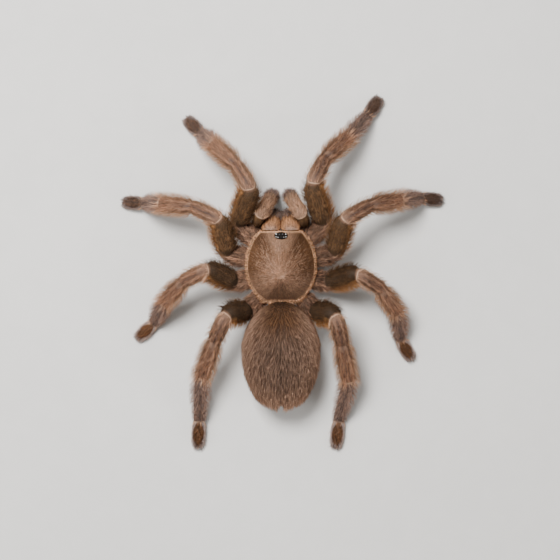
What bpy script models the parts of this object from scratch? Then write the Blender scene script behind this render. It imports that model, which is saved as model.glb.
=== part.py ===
"""Asian fawn tarantula, life size, standing at rest with its eight legs spread.

Sizes are in millimetres here and become metres when a mesh is made. +X is the spider's left,
-Y is ahead of it and +Z is up. Each limb is a spine with rounded corners, and its pieces are
stretches of one tube along it. Their ends are square to the spine and face each other.
The long coat of the abdomen and the legs is flat tapered locks, fused to the piece they grow from.
"""

import math
import random

import bmesh
import bpy
from mathutils import Matrix, Vector
from mathutils.bvhtree import BVHTree

MM = 0.001
GAP = 0.3
EYE_GAP = 0.1
SEED = 7
SIDES = {"left": 1.0, "right": -1.0}

# Carapace: an ellipse that a front and a rear edge cut short, domed round the fovea
CARAPACE_HALF_WIDTH = 10.45
CARAPACE_AHEAD = 13.5
CARAPACE_BEHIND = 11.6
CARAPACE_FRONT = -10.6
CARAPACE_REAR = 10.4
CARAPACE_UNDERSIDE = 11.5
CARAPACE_RIM = 0.7
CARAPACE_RISE = 4.3
CLYPEUS_RISE = 2.4
HEAD_SWELL = 0.9
FOVEA_Y = 3.2
FOVEA_DEPTH = 0.6
FOVEA_SPREAD = 0.1
GROOVE_TURNS = (33.0, 72.0, 108.0, 146.0)
GROOVE_DEPTH = 0.3
GROOVE_SPREAD = 9.0
HEAD_SPREAD = 36.0
HEAD_START = 0.4

# Eye mound and eyes: (across from the midline, behind the mound's centre, radius)
MOUND_Y = -9.2
MOUND_HALF_WIDTH = 2.1
MOUND_HALF_LENGTH = 1.15
MOUND_HEIGHT = 0.95
EYES = {
    "anterior_median": (0.48, -0.3, 0.34),
    "anterior_lateral": (1.42, -0.42, 0.38),
    "posterior_lateral": (1.5, 0.4, 0.32),
    "posterior_median": (0.88, 0.5, 0.26),
}

# Sternum block, which the limbs grow from
STERNUM_HALF_WIDTH = 4.0
STERNUM_FRONT = -8.4
STERNUM_REAR = 8.6
STERNUM_BOTTOM = 4.6
STERNUM_TOP = CARAPACE_UNDERSIDE - GAP

# Abdomen, pedicel and spinnerets
ABDOMEN_FRONT = 10.9
ABDOMEN_REAR = 41.4
ABDOMEN_HALF_WIDTH = 10.6
ABDOMEN_AXIS = 11.4
ABDOMEN_ABOVE = 8.0
ABDOMEN_BELOW = 6.6
FRONT_FULLNESS = 1.1
REAR_FULLNESS = 0.62
PEDICEL_RADIUS = 1.3
PEDICEL_HEIGHT = 9.7
SPINNERET_ROOT = (1.5, 37.4, 8.2)
SPINNERET_TIP = (2.5, 43.6, 4.9)
SPINNERET_RADIUS = 0.95

# Chelicerae and fangs, from the carapace's front edge: (ahead, height)
CHELICERA_HALF_WIDTH = 3.0
CHELICERA_HALF_DEPTH = 2.55
CHELICERA_PATH = ((0.0, 12.1), (3.6, 12.1), (3.3, 5.2))
CHELICERA_BEND = 2.75
CHELICERA_PROFILE = (
    (0.0, 0.97, 0.96), (0.35, 0.94, 1.0), (0.7, 0.85, 1.02), (1.0, 0.76, 1.04),
    (1.3, 0.71, 1.0), (1.6, 0.66, 0.95), (1.85, 0.58, 0.8), (2.0, 0.42, 0.5),
)
FANG_PATH = ((3.4, 4.9), (3.1, 3.2), (-0.5, 3.7))
FANG_BEND = 1.1
FANG_RADIUS = 0.75
FANG_PROFILE = ((0.0, 1.0), (0.5, 1.0), (1.0, 0.9), (1.3, 0.8), (1.6, 0.6), (1.85, 0.4), (2.0, 0.2))

# Legs: length of each segment of each pair, and the pair's girth
LEG_LENGTHS = {
    1: (15.7, 9.3, 11.7, 11.2, 7.1),
    2: (14.0, 9.3, 11.6, 10.6, 7.0),
    3: (12.2, 8.8, 11.0, 10.3, 7.5),
    4: (13.4, 9.8, 14.2, 15.2, 8.9),
}
LEG_GIRTHS = {1: 1.0, 2: 0.97, 3: 0.95, 4: 1.0}
HIPS = {1: (13.2, -12.8), 2: (16.4, -3.7), 3: (14.1, 5.0), 4: (10.1, 13.9)}
COXA_ROOTS = {1: (3.8, -3.9), 2: (3.4, -1.2), 3: (3.4, 2.2), 4: (3.2, 5.5)}
COXA_HEIGHT = 8.2
FOOT_AXIS_HEIGHT = 0.8

# Pose in degrees: a heading turns outwards from straight ahead, and a slope rises.
# A metatarsus has no slope here, as its foot has to reach the floor.
POSES = {
    (1, "left"): {"hip": 9.8, "headings": (-22.7, 31, 47, 46, 44), "slopes": (46, -21, -26, -14)},
    (1, "right"): {"hip": 8.6, "headings": (-17.7, 27, 46, 41, 34), "slopes": (37, -22, -27, -15)},
    (2, "left"): {"hip": 9.4, "headings": (11, 64, 84, 84, 87), "slopes": (42, -15, -22, -16)},
    (2, "right"): {"hip": 9.2, "headings": (14, 60, 80, 81, 96), "slopes": (42, -13, -26, -17)},
    (3, "left"): {"hip": 9.1, "headings": (62, 117, 137, 152, 132), "slopes": (43, -16, -30, -6)},
    (3, "right"): {"hip": 8.6, "headings": (73, 122, 144, 174, 149), "slopes": (40, -18, -26, -11)},
    (4, "left"): {"hip": 8.6, "headings": (93, 156, 160, 176, 177), "slopes": (62, -26, -25, -11)},
    (4, "right"): {"hip": 9.1, "headings": (95, 167, 169, 193, 186), "slopes": (62, -27, -27, -4)},
}
LEG_BENDS = (3.0, 3.0, 4.0, 3.2, 2.6)

# Segments: half width, half height, and (part of the length, size)
SEGMENTS = {
    "coxa": (2.65, 2.3, ((0.0, 0.48), (0.15, 0.56), (0.3, 0.74), (0.6, 0.98), (0.79, 1.0), (0.88, 0.9))),
    "femur": (3.1, 3.0, (
        (0.0, 0.82), (0.1, 0.9), (0.25, 0.99), (0.55, 1.02), (0.83, 0.95), (0.92, 0.88),
    )),
    "patella": (2.4, 2.35, ((0.0, 0.98), (0.16, 1.02), (0.34, 1.02), (0.85, 0.92))),
    "tibia": (2.25, 2.2, ((0.0, 0.86), (0.14, 0.98), (0.5, 1.02), (0.88, 0.95))),
    "metatarsus": (1.85, 1.8, ((0.0, 0.96), (0.12, 1.0), (0.5, 0.98), (0.88, 0.92))),
    "tarsus": (1.8, 1.38, (
        (0.0, 0.84), (0.14, 0.96), (0.45, 1.04), (0.75, 0.95), (0.92, 0.74), (1.0, 0.42),
    )),
}
END_SIZES = {"coxa": 0.97, "femur": 0.86, "tibia": 0.86}
LEG_CHAIN = ("coxa", "femur", "patella", "tibia", "metatarsus", "tarsus")
LEG_PIECES = (("coxa",), ("femur",), ("patella", "tibia"), ("metatarsus", "tarsus"))
LIMB_SIDES = 8

# Palp, on the spider's left: its corners, and the half width in the middle of each segment
PALP_CORNERS = (
    (2.2, -8.3, 7.3), (7.3, -12.9, 7.8), (6.7, -14.9, 16.0),
    (3.2, -20.4, 14.9), (2.9, -21.4, 8.3), (2.6, -22.3, 1.2),
)
PALP_BENDS = (2.2, 2.3, 2.6, 3.0)
PALP_GIRTHS = {"coxa": 1.45, "femur": 1.65, "patella": 2.1, "tibia": 2.05, "tarsus": 1.65}
PALP_PIECES = (("coxa",), ("femur",), ("patella", "tibia"), ("tarsus",))
PALP_TARSUS_PROFILE = ((0.0, 0.9), (0.2, 1.0), (0.5, 1.0), (0.8, 0.88), (1.0, 0.5))

# Locks of the coat. Each grows from the middle of one facet of its piece, and the rows on a
# segment, as (place along it, first facet), take every other facet in turn.
LOCK_THICKNESS = 0.5
LOCK_DROOP = 0.35
LOCK_ROOT = {"part": -0.05, "depth": 0.6, "breadth": 0.45, "thickness": 0.5}
# (part of the length, part of the lift, part of the width, part of the thickness)
LOCK_STEPS = ((0.25, 0.62, 1.0, 1.0), (0.66, 0.95, 0.72, 0.9))
LIMB_LOCKS = {
    "femur": {"rows": ((0.14, 0), (0.46, 1)), "length": 6.4, "width": 3.1, "lift": 1.0},
    "tibia": {"rows": ((0.06, 0), (0.4, 1)), "length": 5.4, "width": 2.6, "lift": 0.8},
    "metatarsus": {"rows": ((0.06, 1),), "length": 5.2, "width": 2.2, "lift": 0.55},
}
BARE_FACETS = {("femur", 2)}
LONG_RUN = 13.0
LONG_RUN_ROW = {"tibia": (0.62, 0), "metatarsus": (0.42, 0)}
ABDOMEN_SECTORS = 18
ABDOMEN_STEPS = 13
ABDOMEN_LOCK = {"length": 6.8, "width": 4.1, "lift": 1.0}
TIP_ROOM = 0.07
FLOOR_CLEARANCE = 0.35
NEAR = 4.0

# Colours as linear red, green and blue, with a roughness
FINISHES = {
    "carapace": ((0.30, 0.19, 0.115), 0.7),
    "eye_mound": ((0.05, 0.03, 0.02), 0.5),
    "eye": ((0.012, 0.010, 0.009), 0.08),
    "sternum": ((0.07, 0.045, 0.03), 0.8),
    "abdomen": ((0.16, 0.10, 0.065), 0.85),
    "spinneret": ((0.15, 0.10, 0.07), 0.85),
    "chelicera": ((0.36, 0.20, 0.11), 0.75),
    "fang": ((0.015, 0.010, 0.008), 0.2),
    "coxa": ((0.24, 0.17, 0.13), 0.8),
    "femur": ((0.11, 0.075, 0.05), 0.8),
    "patella_tibia": ((0.22, 0.155, 0.11), 0.8),
    "metatarsus_tarsus": ((0.17, 0.12, 0.09), 0.85),
    "palp_tarsus": ((0.2, 0.16, 0.13), 0.85),
}


def finish(name):
    """The material of one kind of piece, made once."""
    found = bpy.data.materials.get(name)
    if found:
        return found
    colour, roughness = FINISHES[name]
    made = bpy.data.materials.new(name)
    made.use_nodes = True
    shader = made.node_tree.nodes["Principled BSDF"]
    shader.inputs["Base Color"].default_value = (*colour, 1.0)
    shader.inputs["Roughness"].default_value = roughness
    shader.inputs["Metallic"].default_value = 0.0
    return made


def make_object(name, points, faces, material=None):
    """A mesh object from points in millimetres, with its faces turned outwards."""
    mesh = bpy.data.meshes.new(name)
    mesh.from_pydata([Vector(p) * MM for p in points], [], faces)
    work = bmesh.new()
    work.from_mesh(mesh)
    bmesh.ops.recalc_face_normals(work, faces=work.faces)
    if work.calc_volume(signed=True) < 0:
        bmesh.ops.reverse_faces(work, faces=work.faces)
    work.to_mesh(mesh)
    work.free()
    made = bpy.data.objects.new(name, mesh)
    bpy.context.scene.collection.objects.link(made)
    if material:
        mesh.materials.append(finish(material))
    return made


def loft(rings, start=None, end=None):
    """Points and faces through rings of equally many points, closed by a fan at each end."""
    count = len(rings[0])
    points = [p for ring in rings for p in ring]
    faces = []
    for first in range(0, (len(rings) - 1) * count, count):
        for i in range(count):
            a, b = first + i, first + (i + 1) % count
            faces += [(a, b, b + count), (a, b + count, a + count)]
    for ring, first, tip in ((rings[0], 0, start), (rings[-1], len(points) - count, end)):
        points.append(tip or sum((Vector(p) for p in ring), Vector()) / count)
        faces += [(first + i, first + (i + 1) % count, len(points) - 1) for i in range(count)]
    return points, faces


def boolean(target, operation, others, solver="EXACT"):
    """One Boolean of the target with a collection of closed meshes, applied, after which those go."""
    group = bpy.data.collections.new("operands")
    bpy.context.scene.collection.children.link(group)
    for other in others:
        bpy.context.scene.collection.objects.unlink(other)
        group.objects.link(other)
    join = target.modifiers.new("join", "BOOLEAN")
    join.operation = operation
    join.operand_type = "COLLECTION"
    join.collection = group
    join.solver = solver
    bpy.context.view_layer.update()
    graph = bpy.context.evaluated_depsgraph_get()
    mesh = bpy.data.meshes.new_from_object(target.evaluated_get(graph))
    target.modifiers.clear()
    material = target.data.materials[0]
    target.data = mesh
    mesh.materials.clear()
    mesh.materials.append(material)
    for other in list(group.objects):
        bpy.data.objects.remove(other)
    bpy.data.collections.remove(group)
    keep_largest(target)
    return target


def keep_largest(target):
    """Leaves the closed surface with the largest box. An edge of four faces parts two surfaces."""
    work = bmesh.new()
    work.from_mesh(target.data)
    left = set(work.faces)
    surfaces = []
    while left:
        front = [left.pop()]
        surface = set(front)
        while front:
            for edge in front.pop().edges:
                if len(edge.link_faces) == 2:
                    beyond = [f for f in edge.link_faces if f in left]
                    left.difference_update(beyond)
                    surface.update(beyond)
                    front += beyond
        surfaces.append(surface)
    surfaces.sort(key=box_diagonal, reverse=True)
    for surface in surfaces[1:]:
        bmesh.ops.delete(work, geom=list(surface), context="FACES")
    work.to_mesh(target.data)
    work.free()


def box_diagonal(faces):
    low, high = corners_of([v.co for face in faces for v in face.verts])
    return (high - low).length


def corners_of(points):
    low = Vector([min(p[k] for p in points) for k in range(3)])
    high = Vector([max(p[k] for p in points) for k in range(3)])
    return low, high


class Spine:
    """Straight runs with rounded corners.

    A place on it is a corner's number plus a part of the run that follows.
    """

    def __init__(self, corners, bends):
        self.corners = [Vector(c) for c in corners]
        self.ways = [(b - a).normalized() for a, b in zip(self.corners, self.corners[1:])]
        self.bends = bends

    def reach(self, corner):
        """How far from the corner its bend starts."""
        return self.bends[corner - 1] * math.tan(self.ways[corner - 1].angle(self.ways[corner]) / 2)

    def at(self, place):
        """The point there and the way along."""
        last = len(self.ways) - 1
        k = min(int(place), last)
        run = (self.corners[k + 1] - self.corners[k]).length
        past = (place - k) * run
        if k > 0 and past < self.reach(k):
            return self.on_bend(k, past / self.reach(k))
        if k < last and run - past < self.reach(k + 1):
            return self.on_bend(k + 1, (past - run) / self.reach(k + 1))
        return self.corners[k] + self.ways[k] * past, self.ways[k]

    def on_bend(self, corner, part):
        """A point of the bend, from part -1 at its start to 1 at its end."""
        before, after = self.ways[corner - 1], self.ways[corner]
        axis = before.cross(after).normalized()
        inwards = axis.cross(before) * self.bends[corner - 1]
        turn = Matrix.Rotation(before.angle(after) * (part + 1) / 2, 3, axis)
        start = self.corners[corner] - before * self.reach(corner)
        return start + inwards - turn @ inwards, turn @ before


class Limb:
    """A stretch of a spine with an ellipse's two half sizes at places along it."""

    def __init__(self, spine, sizes, across=None):
        self.spine, self.sizes, self.fixed_across = spine, sizes, across

    def half_sizes(self, place):
        sizes = self.sizes
        for (a, wide_a, tall_a), (b, wide_b, tall_b) in zip(sizes, sizes[1:]):
            if place <= b:
                part = max(0.0, (place - a) / (b - a))
                return wide_a + (wide_b - wide_a) * part, tall_a + (tall_b - tall_a) * part
        return sizes[-1][1:]

    def frame(self, place):
        point, along = self.spine.at(place)
        level = self.fixed_across or Vector((0, 0, 1)).cross(along)
        across = (level - along * level.dot(along)).normalized()
        return point, along, across, along.cross(across)

    def surface(self, place, angle):
        """A point of the side, the way out from it and the way round it."""
        point, along, across, up = self.frame(place)
        wide, tall = self.half_sizes(place)
        c, s = math.cos(angle), math.sin(angle)
        outwards = (across * (c / wide) + up * (s / tall)).normalized()
        return point + across * (wide * c) + up * (tall * s), outwards, along.cross(outwards)

    def ring(self, place, sides, shift=0.0):
        point, along, across, up = self.frame(place)
        wide, tall = self.half_sizes(place)
        ring = []
        for i in range(sides):
            a = 2 * math.pi * (i + 0.5) / sides
            round_it = across * (wide * math.cos(a)) + up * (tall * math.sin(a))
            ring.append(point + along * shift + round_it)
        return ring

    def rings(self, sides, gap_start, gap_end):
        rings = [self.ring(size[0], sides) for size in self.sizes]
        rings[0] = self.ring(self.sizes[0][0], sides, gap_start)
        rings[-1] = self.ring(self.sizes[-1][0], sides, -gap_end)
        return rings


def carapace_edge(turn):
    """The carapace's edge in plan, at a turn from straight ahead."""
    x = CARAPACE_HALF_WIDTH * math.sin(turn)
    y = -math.cos(turn) * (CARAPACE_AHEAD if math.cos(turn) > 0 else CARAPACE_BEHIND)
    return x, min(max(y, CARAPACE_FRONT), CARAPACE_REAR)


def turn_from_ahead(turn):
    return abs(math.degrees(math.atan2(math.sin(turn), math.cos(turn))))


def carapace_height(part, turn):
    """The carapace's height at a part of the way from the fovea to the edge."""
    from_ahead = turn_from_ahead(turn)
    ahead = math.exp(-((from_ahead / HEAD_SPREAD) ** 2)) * (1.0 - math.exp(-((part / HEAD_START) ** 2)))
    grooved = max(math.exp(-(((from_ahead - g) / GROOVE_SPREAD) ** 2)) for g in GROOVE_TURNS)
    edge = CARAPACE_UNDERSIDE + CARAPACE_RIM + CLYPEUS_RISE * ahead
    dome = (CARAPACE_RISE - (CLYPEUS_RISE - HEAD_SWELL) * ahead) * (1.0 - part ** 2.3)
    head = HEAD_SWELL * ahead * math.sin(math.pi * part)
    pit = FOVEA_DEPTH * math.exp(-((part / FOVEA_SPREAD) ** 2))
    groove = GROOVE_DEPTH * grooved * math.sin(math.pi * part)
    return edge + dome + head - pit - groove


def carapace_point(part, turn):
    x, y = carapace_edge(turn)
    return Vector((x * part, FOVEA_Y + (y - FOVEA_Y) * part, carapace_height(part, turn)))


def build_carapace():
    sectors, parts, underside = 44, (0.1, 0.26, 0.46, 0.66, 0.84, 1.0), 0.97
    turns = [2 * math.pi * i / sectors for i in range(sectors)]
    rings = [[carapace_point(part, t) for t in turns] for part in parts]
    under = []
    for x, y in (carapace_edge(t) for t in turns):
        under.append(Vector((x * underside, FOVEA_Y + (y - FOVEA_Y) * underside, CARAPACE_UNDERSIDE)))
    return make_object("carapace", *loft([*rings, under], carapace_point(0.0, 0.0)), "carapace")


def height_under_mound(x, y):
    """The carapace's height near the middle of its front edge."""
    part = (y - FOVEA_Y) / (CARAPACE_FRONT - FOVEA_Y)
    edge_x = x / part
    return carapace_height(part, math.atan2(edge_x, math.sqrt(CARAPACE_HALF_WIDTH ** 2 - edge_x ** 2)))


def mound_point(x, y, rise):
    return Vector((x, y, height_under_mound(x, y) + GAP + rise))


def build_mound():
    """The low mound that carries the eyes, with a socket for each."""
    sectors, steps = 14, ((1.0, 0.0), (1.0, 0.35), (0.82, 0.7), (0.4, 0.95))
    rings = []
    for part, rise in steps:
        ring = []
        for i in range(sectors):
            a = 2 * math.pi * i / sectors
            x = MOUND_HALF_WIDTH * part * math.sin(a)
            y = MOUND_Y - MOUND_HALF_LENGTH * part * math.cos(a)
            ring.append(mound_point(x, y, MOUND_HEIGHT * rise))
        rings.append(ring)
    top = mound_point(0, MOUND_Y, MOUND_HEIGHT)
    made = make_object("eye_mound", *loft(rings, None, top), "eye_mound")
    sockets = []
    for name, (across, behind, radius) in EYES.items():
        for side_name, side in SIDES.items():
            x, y = side * across, MOUND_Y + behind
            far = math.hypot(x / MOUND_HALF_WIDTH, behind / MOUND_HALF_LENGTH)
            rise = MOUND_HEIGHT * (0.35 + 0.65 * math.sqrt(max(0.0, 1.0 - far * far)))
            centre = mound_point(x, y, rise - 0.2 * radius)
            make_ball(f"eye_{name}_{side_name}", centre, radius, "eye")
            sockets.append(make_ball("socket", centre, radius + EYE_GAP))
    boolean(made, "DIFFERENCE", sockets)


def make_ball(name, centre, radius, material=None):
    work = bmesh.new()
    bmesh.ops.create_uvsphere(work, u_segments=8, v_segments=4, radius=radius)
    points = [Vector(centre) + v.co for v in work.verts]
    faces = [[v.index for v in f.verts] for f in work.faces]
    work.free()
    return make_object(name, points, faces, material)


def sternum_ring(height, part=1.0, grow=0.0, sectors=20):
    middle = (STERNUM_FRONT + STERNUM_REAR) / 2
    half_length = (STERNUM_REAR - STERNUM_FRONT) / 2
    ring = []
    for i in range(sectors):
        a = 2 * math.pi * i / sectors
        x = (STERNUM_HALF_WIDTH * part + grow) * math.sin(a)
        ring.append(Vector((x, middle - (half_length * part + grow) * math.cos(a), height)))
    return ring


def build_sternum():
    rings = [
        sternum_ring(STERNUM_BOTTOM, 0.5),
        sternum_ring(STERNUM_BOTTOM + 0.35, 0.82),
        sternum_ring(STERNUM_BOTTOM + 1.2),
        sternum_ring(STERNUM_TOP),
    ]
    return make_object("sternum", *loft(rings), "sternum")


def sternum_cutter():
    return make_object("cutter", *loft([sternum_ring(0.0, 1.0, GAP), sternum_ring(14.0, 1.0, GAP)]))


def abdomen_point(v, angle, gap=0.0):
    """A point of the abdomen. v turns from 0 at its front to pi at its rear."""
    along = (1.0 - math.cos(v)) / 2
    girth = math.sin(v) ** (FRONT_FULLNESS + (REAR_FULLNESS - FRONT_FULLNESS) * along)
    c, s = math.cos(angle), math.sin(angle)
    tall = ABDOMEN_ABOVE if s > 0 else ABDOMEN_BELOW
    rear = ABDOMEN_REAR + gap
    return Vector((
        (ABDOMEN_HALF_WIDTH + gap) * girth * c,
        ABDOMEN_FRONT + (rear - ABDOMEN_FRONT) * along,
        ABDOMEN_AXIS + (tall + gap) * girth * s,
    ))


def abdomen_mesh(name, gap=0.0, material=None):
    rings = []
    for r in range(1, ABDOMEN_STEPS):
        turns = [2 * math.pi * (i + 0.5) / ABDOMEN_SECTORS for i in range(ABDOMEN_SECTORS)]
        rings.append([abdomen_point(math.pi * r / ABDOMEN_STEPS, a, gap) for a in turns])
    ends = abdomen_point(0.0, 0.0, gap), abdomen_point(math.pi, 0.0, gap)
    return make_object(name, *loft(rings, *ends), material)


def build_abdomen():
    body = abdomen_mesh("abdomen", 0.0, "abdomen")
    rings = []
    for y in (STERNUM_REAR + GAP, ABDOMEN_FRONT + 2.5):
        turns = [2 * math.pi * i / 10 for i in range(10)]
        flat = [(PEDICEL_RADIUS * math.cos(a), PEDICEL_RADIUS * math.sin(a)) for a in turns]
        rings.append([Vector((x, y, PEDICEL_HEIGHT + rise)) for x, rise in flat])
    boolean(body, "UNION", [make_object("pedicel", *loft(rings))])


def build_spinnerets():
    """The two long jointed spinnerets, cut clear of the abdomen."""
    profile = ((0.0, 1.0), (0.55, 1.0), (0.6, 0.84), (0.78, 0.8), (0.82, 0.64), (1.0, 0.35))
    for name, side in SIDES.items():
        ends = [Vector((side * x, y, z)) for x, y, z in (SPINNERET_ROOT, SPINNERET_TIP)]
        sizes = [(part, SPINNERET_RADIUS * size, SPINNERET_RADIUS * size) for part, size in profile]
        limb = Limb(Spine(ends, ()), sizes)
        made = make_object(f"spinneret_{name}", *loft(limb.rings(8, 0.0, 0.0)), "spinneret")
        boolean(made, "DIFFERENCE", [abdomen_mesh("cutter", GAP)])


def jaw_limb(path, bend, middle, sizes):
    front = CARAPACE_FRONT - GAP
    corners = [Vector((middle, front - ahead, height)) for ahead, height in path]
    return Limb(Spine(corners, (bend,)), sizes, Vector((1, 0, 0)))


def build_jaws():
    """The stout bases of the jaws, hanging from the carapace's front edge, and the fangs below them."""
    for name, side in SIDES.items():
        wide, deep = CHELICERA_HALF_WIDTH, CHELICERA_HALF_DEPTH
        sizes = [(place, wide * w, deep * d) for place, w, d in CHELICERA_PROFILE]
        middle = side * (GAP / 2 + wide)
        limb = jaw_limb(CHELICERA_PATH, CHELICERA_BEND, middle, sizes)
        rings = limb.rings(14, 0.0, 0.0)
        for ring, (_, half, _) in zip(rings, sizes):
            for point in ring:
                point.x -= side * (wide - half)
        make_object(f"chelicera_{name}", *loft(rings), "chelicera")
        sizes = [(place, FANG_RADIUS * size, FANG_RADIUS * size) for place, size in FANG_PROFILE]
        tip_width = wide * CHELICERA_PROFILE[-1][1]
        limb = jaw_limb(FANG_PATH, FANG_BEND, side * (GAP / 2 + tip_width), sizes)
        make_object(f"fang_{name}", *loft(limb.rings(10, 0.0, 0.0)), "fang")


def heading_way(heading, slope, side):
    """The way of a segment with that heading and slope in degrees."""
    h, s = math.radians(heading), math.radians(slope)
    return Vector((side * math.sin(h) * math.cos(s), -math.cos(h) * math.cos(s), math.sin(s)))


def leg_corners(pair, side_name):
    """The leg's corners from its root to its toe, with the foot on the floor."""
    pose, lengths, side = POSES[pair, side_name], LEG_LENGTHS[pair], SIDES[side_name]
    femur, patella, tibia, tarsus = pose["slopes"]
    slopes = [femur, patella, tibia, 0.0, tarsus]
    drop = pose["hip"] - FOOT_AXIS_HEIGHT
    drop += sum(length * math.sin(math.radians(slope)) for length, slope in zip(lengths, slopes))
    slopes[3] = -math.degrees(math.asin(drop / lengths[3]))
    corners = [
        Vector((side * COXA_ROOTS[pair][0], COXA_ROOTS[pair][1], COXA_HEIGHT)),
        Vector((side * HIPS[pair][0], HIPS[pair][1], pose["hip"])),
    ]
    for heading, slope, length in zip(pose["headings"], slopes, lengths):
        corners.append(corners[-1] + heading_way(heading, slope, side) * length)
    return corners


def leg_sizes(segments, girth):
    """(place, half width, half height) along the segments of one piece."""
    sizes = []
    for segment in segments:
        wide, tall, profile = SEGMENTS[segment]
        first = LEG_CHAIN.index(segment)
        sizes += [(first + part, wide * size * girth, tall * size * girth) for part, size in profile]
    if segment in END_SIZES:
        size = END_SIZES[segment] * girth
        sizes.append((first + 1.0, wide * size, tall * size))
    return sizes


def lay_on_floor(made):
    for v in made.data.vertices:
        v.co.z = max(v.co.z, 0.0)


def build_leg(pair, side_name):
    """Coxa with trochanter, femur, patella with tibia, and metatarsus with tarsus, as (object, limb)."""
    spine = Spine(leg_corners(pair, side_name), LEG_BENDS)
    dressed = []
    for segments in LEG_PIECES:
        kind = "_".join(segments)
        limb = Limb(spine, leg_sizes(segments, LEG_GIRTHS[pair]))
        rings = limb.rings(LIMB_SIDES, GAP / 2, 0.0 if "tarsus" in segments else GAP / 2)
        made = make_object(f"leg_{pair}_{side_name}_{kind}", *loft(rings), kind)
        if kind == "coxa":
            boolean(made, "DIFFERENCE", [sternum_cutter()])
        if "tarsus" in segments:
            lay_on_floor(made)
        dressed += [(made, limb, segment) for segment in segments if segment in LIMB_LOCKS]
    return dressed


def build_palp(side_name):
    """Coxa, femur, patella with tibia, and tarsus of the feeler beside the jaws."""
    side = SIDES[side_name]
    spine = Spine([(side * x, y, z) for x, y, z in PALP_CORNERS], PALP_BENDS)
    chain = ("coxa", "femur", "patella", "tibia", "tarsus")
    for segments in PALP_PIECES:
        sizes = []
        for segment in segments:
            profile = PALP_TARSUS_PROFILE if segment == "tarsus" else SEGMENTS[segment][2]
            half = PALP_GIRTHS[segment]
            sizes += [(chain.index(segment) + part, half * size, half * size) for part, size in profile]
        last = segments[-1]
        if last in END_SIZES:
            half = PALP_GIRTHS[last] * END_SIZES[last]
            sizes.append((chain.index(last) + 1.0, half, half))
        kind = "_".join(segments)
        limb = Limb(spine, sizes, Vector((0.9, side * 0.35, 0.0)))
        rings = limb.rings(LIMB_SIDES, GAP / 2, 0.0 if last == "tarsus" else GAP / 2)
        material = {"tarsus": "palp_tarsus"}.get(kind, kind)
        made = make_object(f"palp_{side_name}_{kind}", *loft(rings), material)
        if kind == "coxa":
            boolean(made, "DIFFERENCE", [sternum_cutter()])
        if kind == "tarsus":
            lay_on_floor(made)


def make_lock(at, width, lift, girth):
    """Rings and tip of a flat tapered lock. at() gives the skin, the way out and the way across."""
    root = LOCK_ROOT
    steps = [(root["part"], -root["depth"], root["breadth"], root["thickness"])]
    steps += [(part, rise * lift, breadth, thick) for part, rise, breadth, thick in LOCK_STEPS]
    rings = []
    for part, height, breadth, thick in steps:
        point, outwards, across = at(part)
        half = breadth * width / 2
        low = point + outwards * (height - LOCK_DROOP * half * half / girth)
        top = point + outwards * (height + thick * LOCK_THICKNESS)
        rings.append([low + across * half, low - across * half, top])
    point, outwards, _ = at(1.0)
    return rings, point + outwards * (lift + LOCK_THICKNESS / 2)


def stands_clear(rings, tip, trees):
    """Whether a lock keeps the gap to the floor and to every other node."""
    points = [p for ring in rings[1:] for p in ring] + [tip]
    for before, after in zip(rings[1:], [*rings[2:], [tip] * 3]):
        points += [p.lerp(q, part) for p, q in zip(before, after) for part in (0.33, 0.67)]
    if min(p.z for p in points) < FLOOR_CLEARANCE:
        return False
    for tree in trees:
        for p in points:
            near, normal, _, distance = tree.find_nearest(p * MM, NEAR * MM)
            if near and (distance < 1.1 * GAP * MM or (p * MM - near).dot(normal) < 0):
                return False
    return True


def tree_of(made):
    points = [v.co.copy() for v in made.data.vertices]
    return BVHTree.FromPolygons(points, [list(f.vertices) for f in made.data.polygons])


def add_lock(locks, at_length, length, width, lift, girth, trees):
    """Adds a lock, laid lower and shorter where it would come too near another node, or left out."""
    for ease in (1.0, 0.75, 0.5, 0.25):
        rings, tip = make_lock(at_length(length * (0.4 + 0.6 * ease)), width, lift * ease, girth)
        if stands_clear(rings, tip, trees):
            locks.append(make_object("lock", *loft(rings, None, tip)))
            return


def limb_locks(limb, segment, draw, trees):
    """Rows of locks round one segment, lying towards its far end."""
    plan = LIMB_LOCKS[segment]
    first = LEG_CHAIN.index(segment)
    run = (limb.spine.corners[first + 1] - limb.spine.corners[first]).length
    rows = plan["rows"]
    if run > LONG_RUN and segment in LONG_RUN_ROW:
        rows = rows + (LONG_RUN_ROW[segment],)
    locks = []
    for place, first_facet in rows:
        for facet in range(first_facet, LIMB_SIDES, 2):
            if (segment, facet) in BARE_FACETS:
                continue
            angle = 2 * math.pi * facet / LIMB_SIDES + draw.uniform(-0.06, 0.06)
            length = min(plan["length"] * draw.uniform(0.9, 1.1), run * (1.0 - TIP_ROOM - place))

            def at_length(length, angle=angle, place=place):
                return lambda part: limb.surface(first + place + part * length / run, angle)

            girth = min(limb.half_sizes(first + place))
            lift = plan["lift"] * draw.uniform(0.9, 1.1)
            add_lock(locks, at_length, length, plan["width"], lift, girth, trees)
    return locks


def abdomen_locks(draw, trees):
    """Rows of locks that lie back over the abdomen, each over the roots of the next row."""
    locks = []
    for r in range(1, ABDOMEN_STEPS - 1):
        v = math.pi * (r + 0.5) / ABDOMEN_STEPS
        full = math.sin(v)
        for facet in range(r % 2, ABDOMEN_SECTORS, 2):
            angle = 2 * math.pi * facet / ABDOMEN_SECTORS + draw.uniform(-0.02, 0.02)
            length = ABDOMEN_LOCK["length"] * draw.uniform(0.9, 1.1) * (0.75 + 0.25 * full)
            width = ABDOMEN_LOCK["width"] * full ** 0.8
            lift = ABDOMEN_LOCK["lift"] * draw.uniform(0.9, 1.1) * min(1.0, 0.35 + v / 1.5)

            def at_length(length, v=v, angle=angle):
                return lambda part: lie_on_abdomen(v, angle, part * length)

            add_lock(locks, at_length, length, width, lift, 0.5 + ABDOMEN_HALF_WIDTH * full, trees)
    return locks


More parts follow.
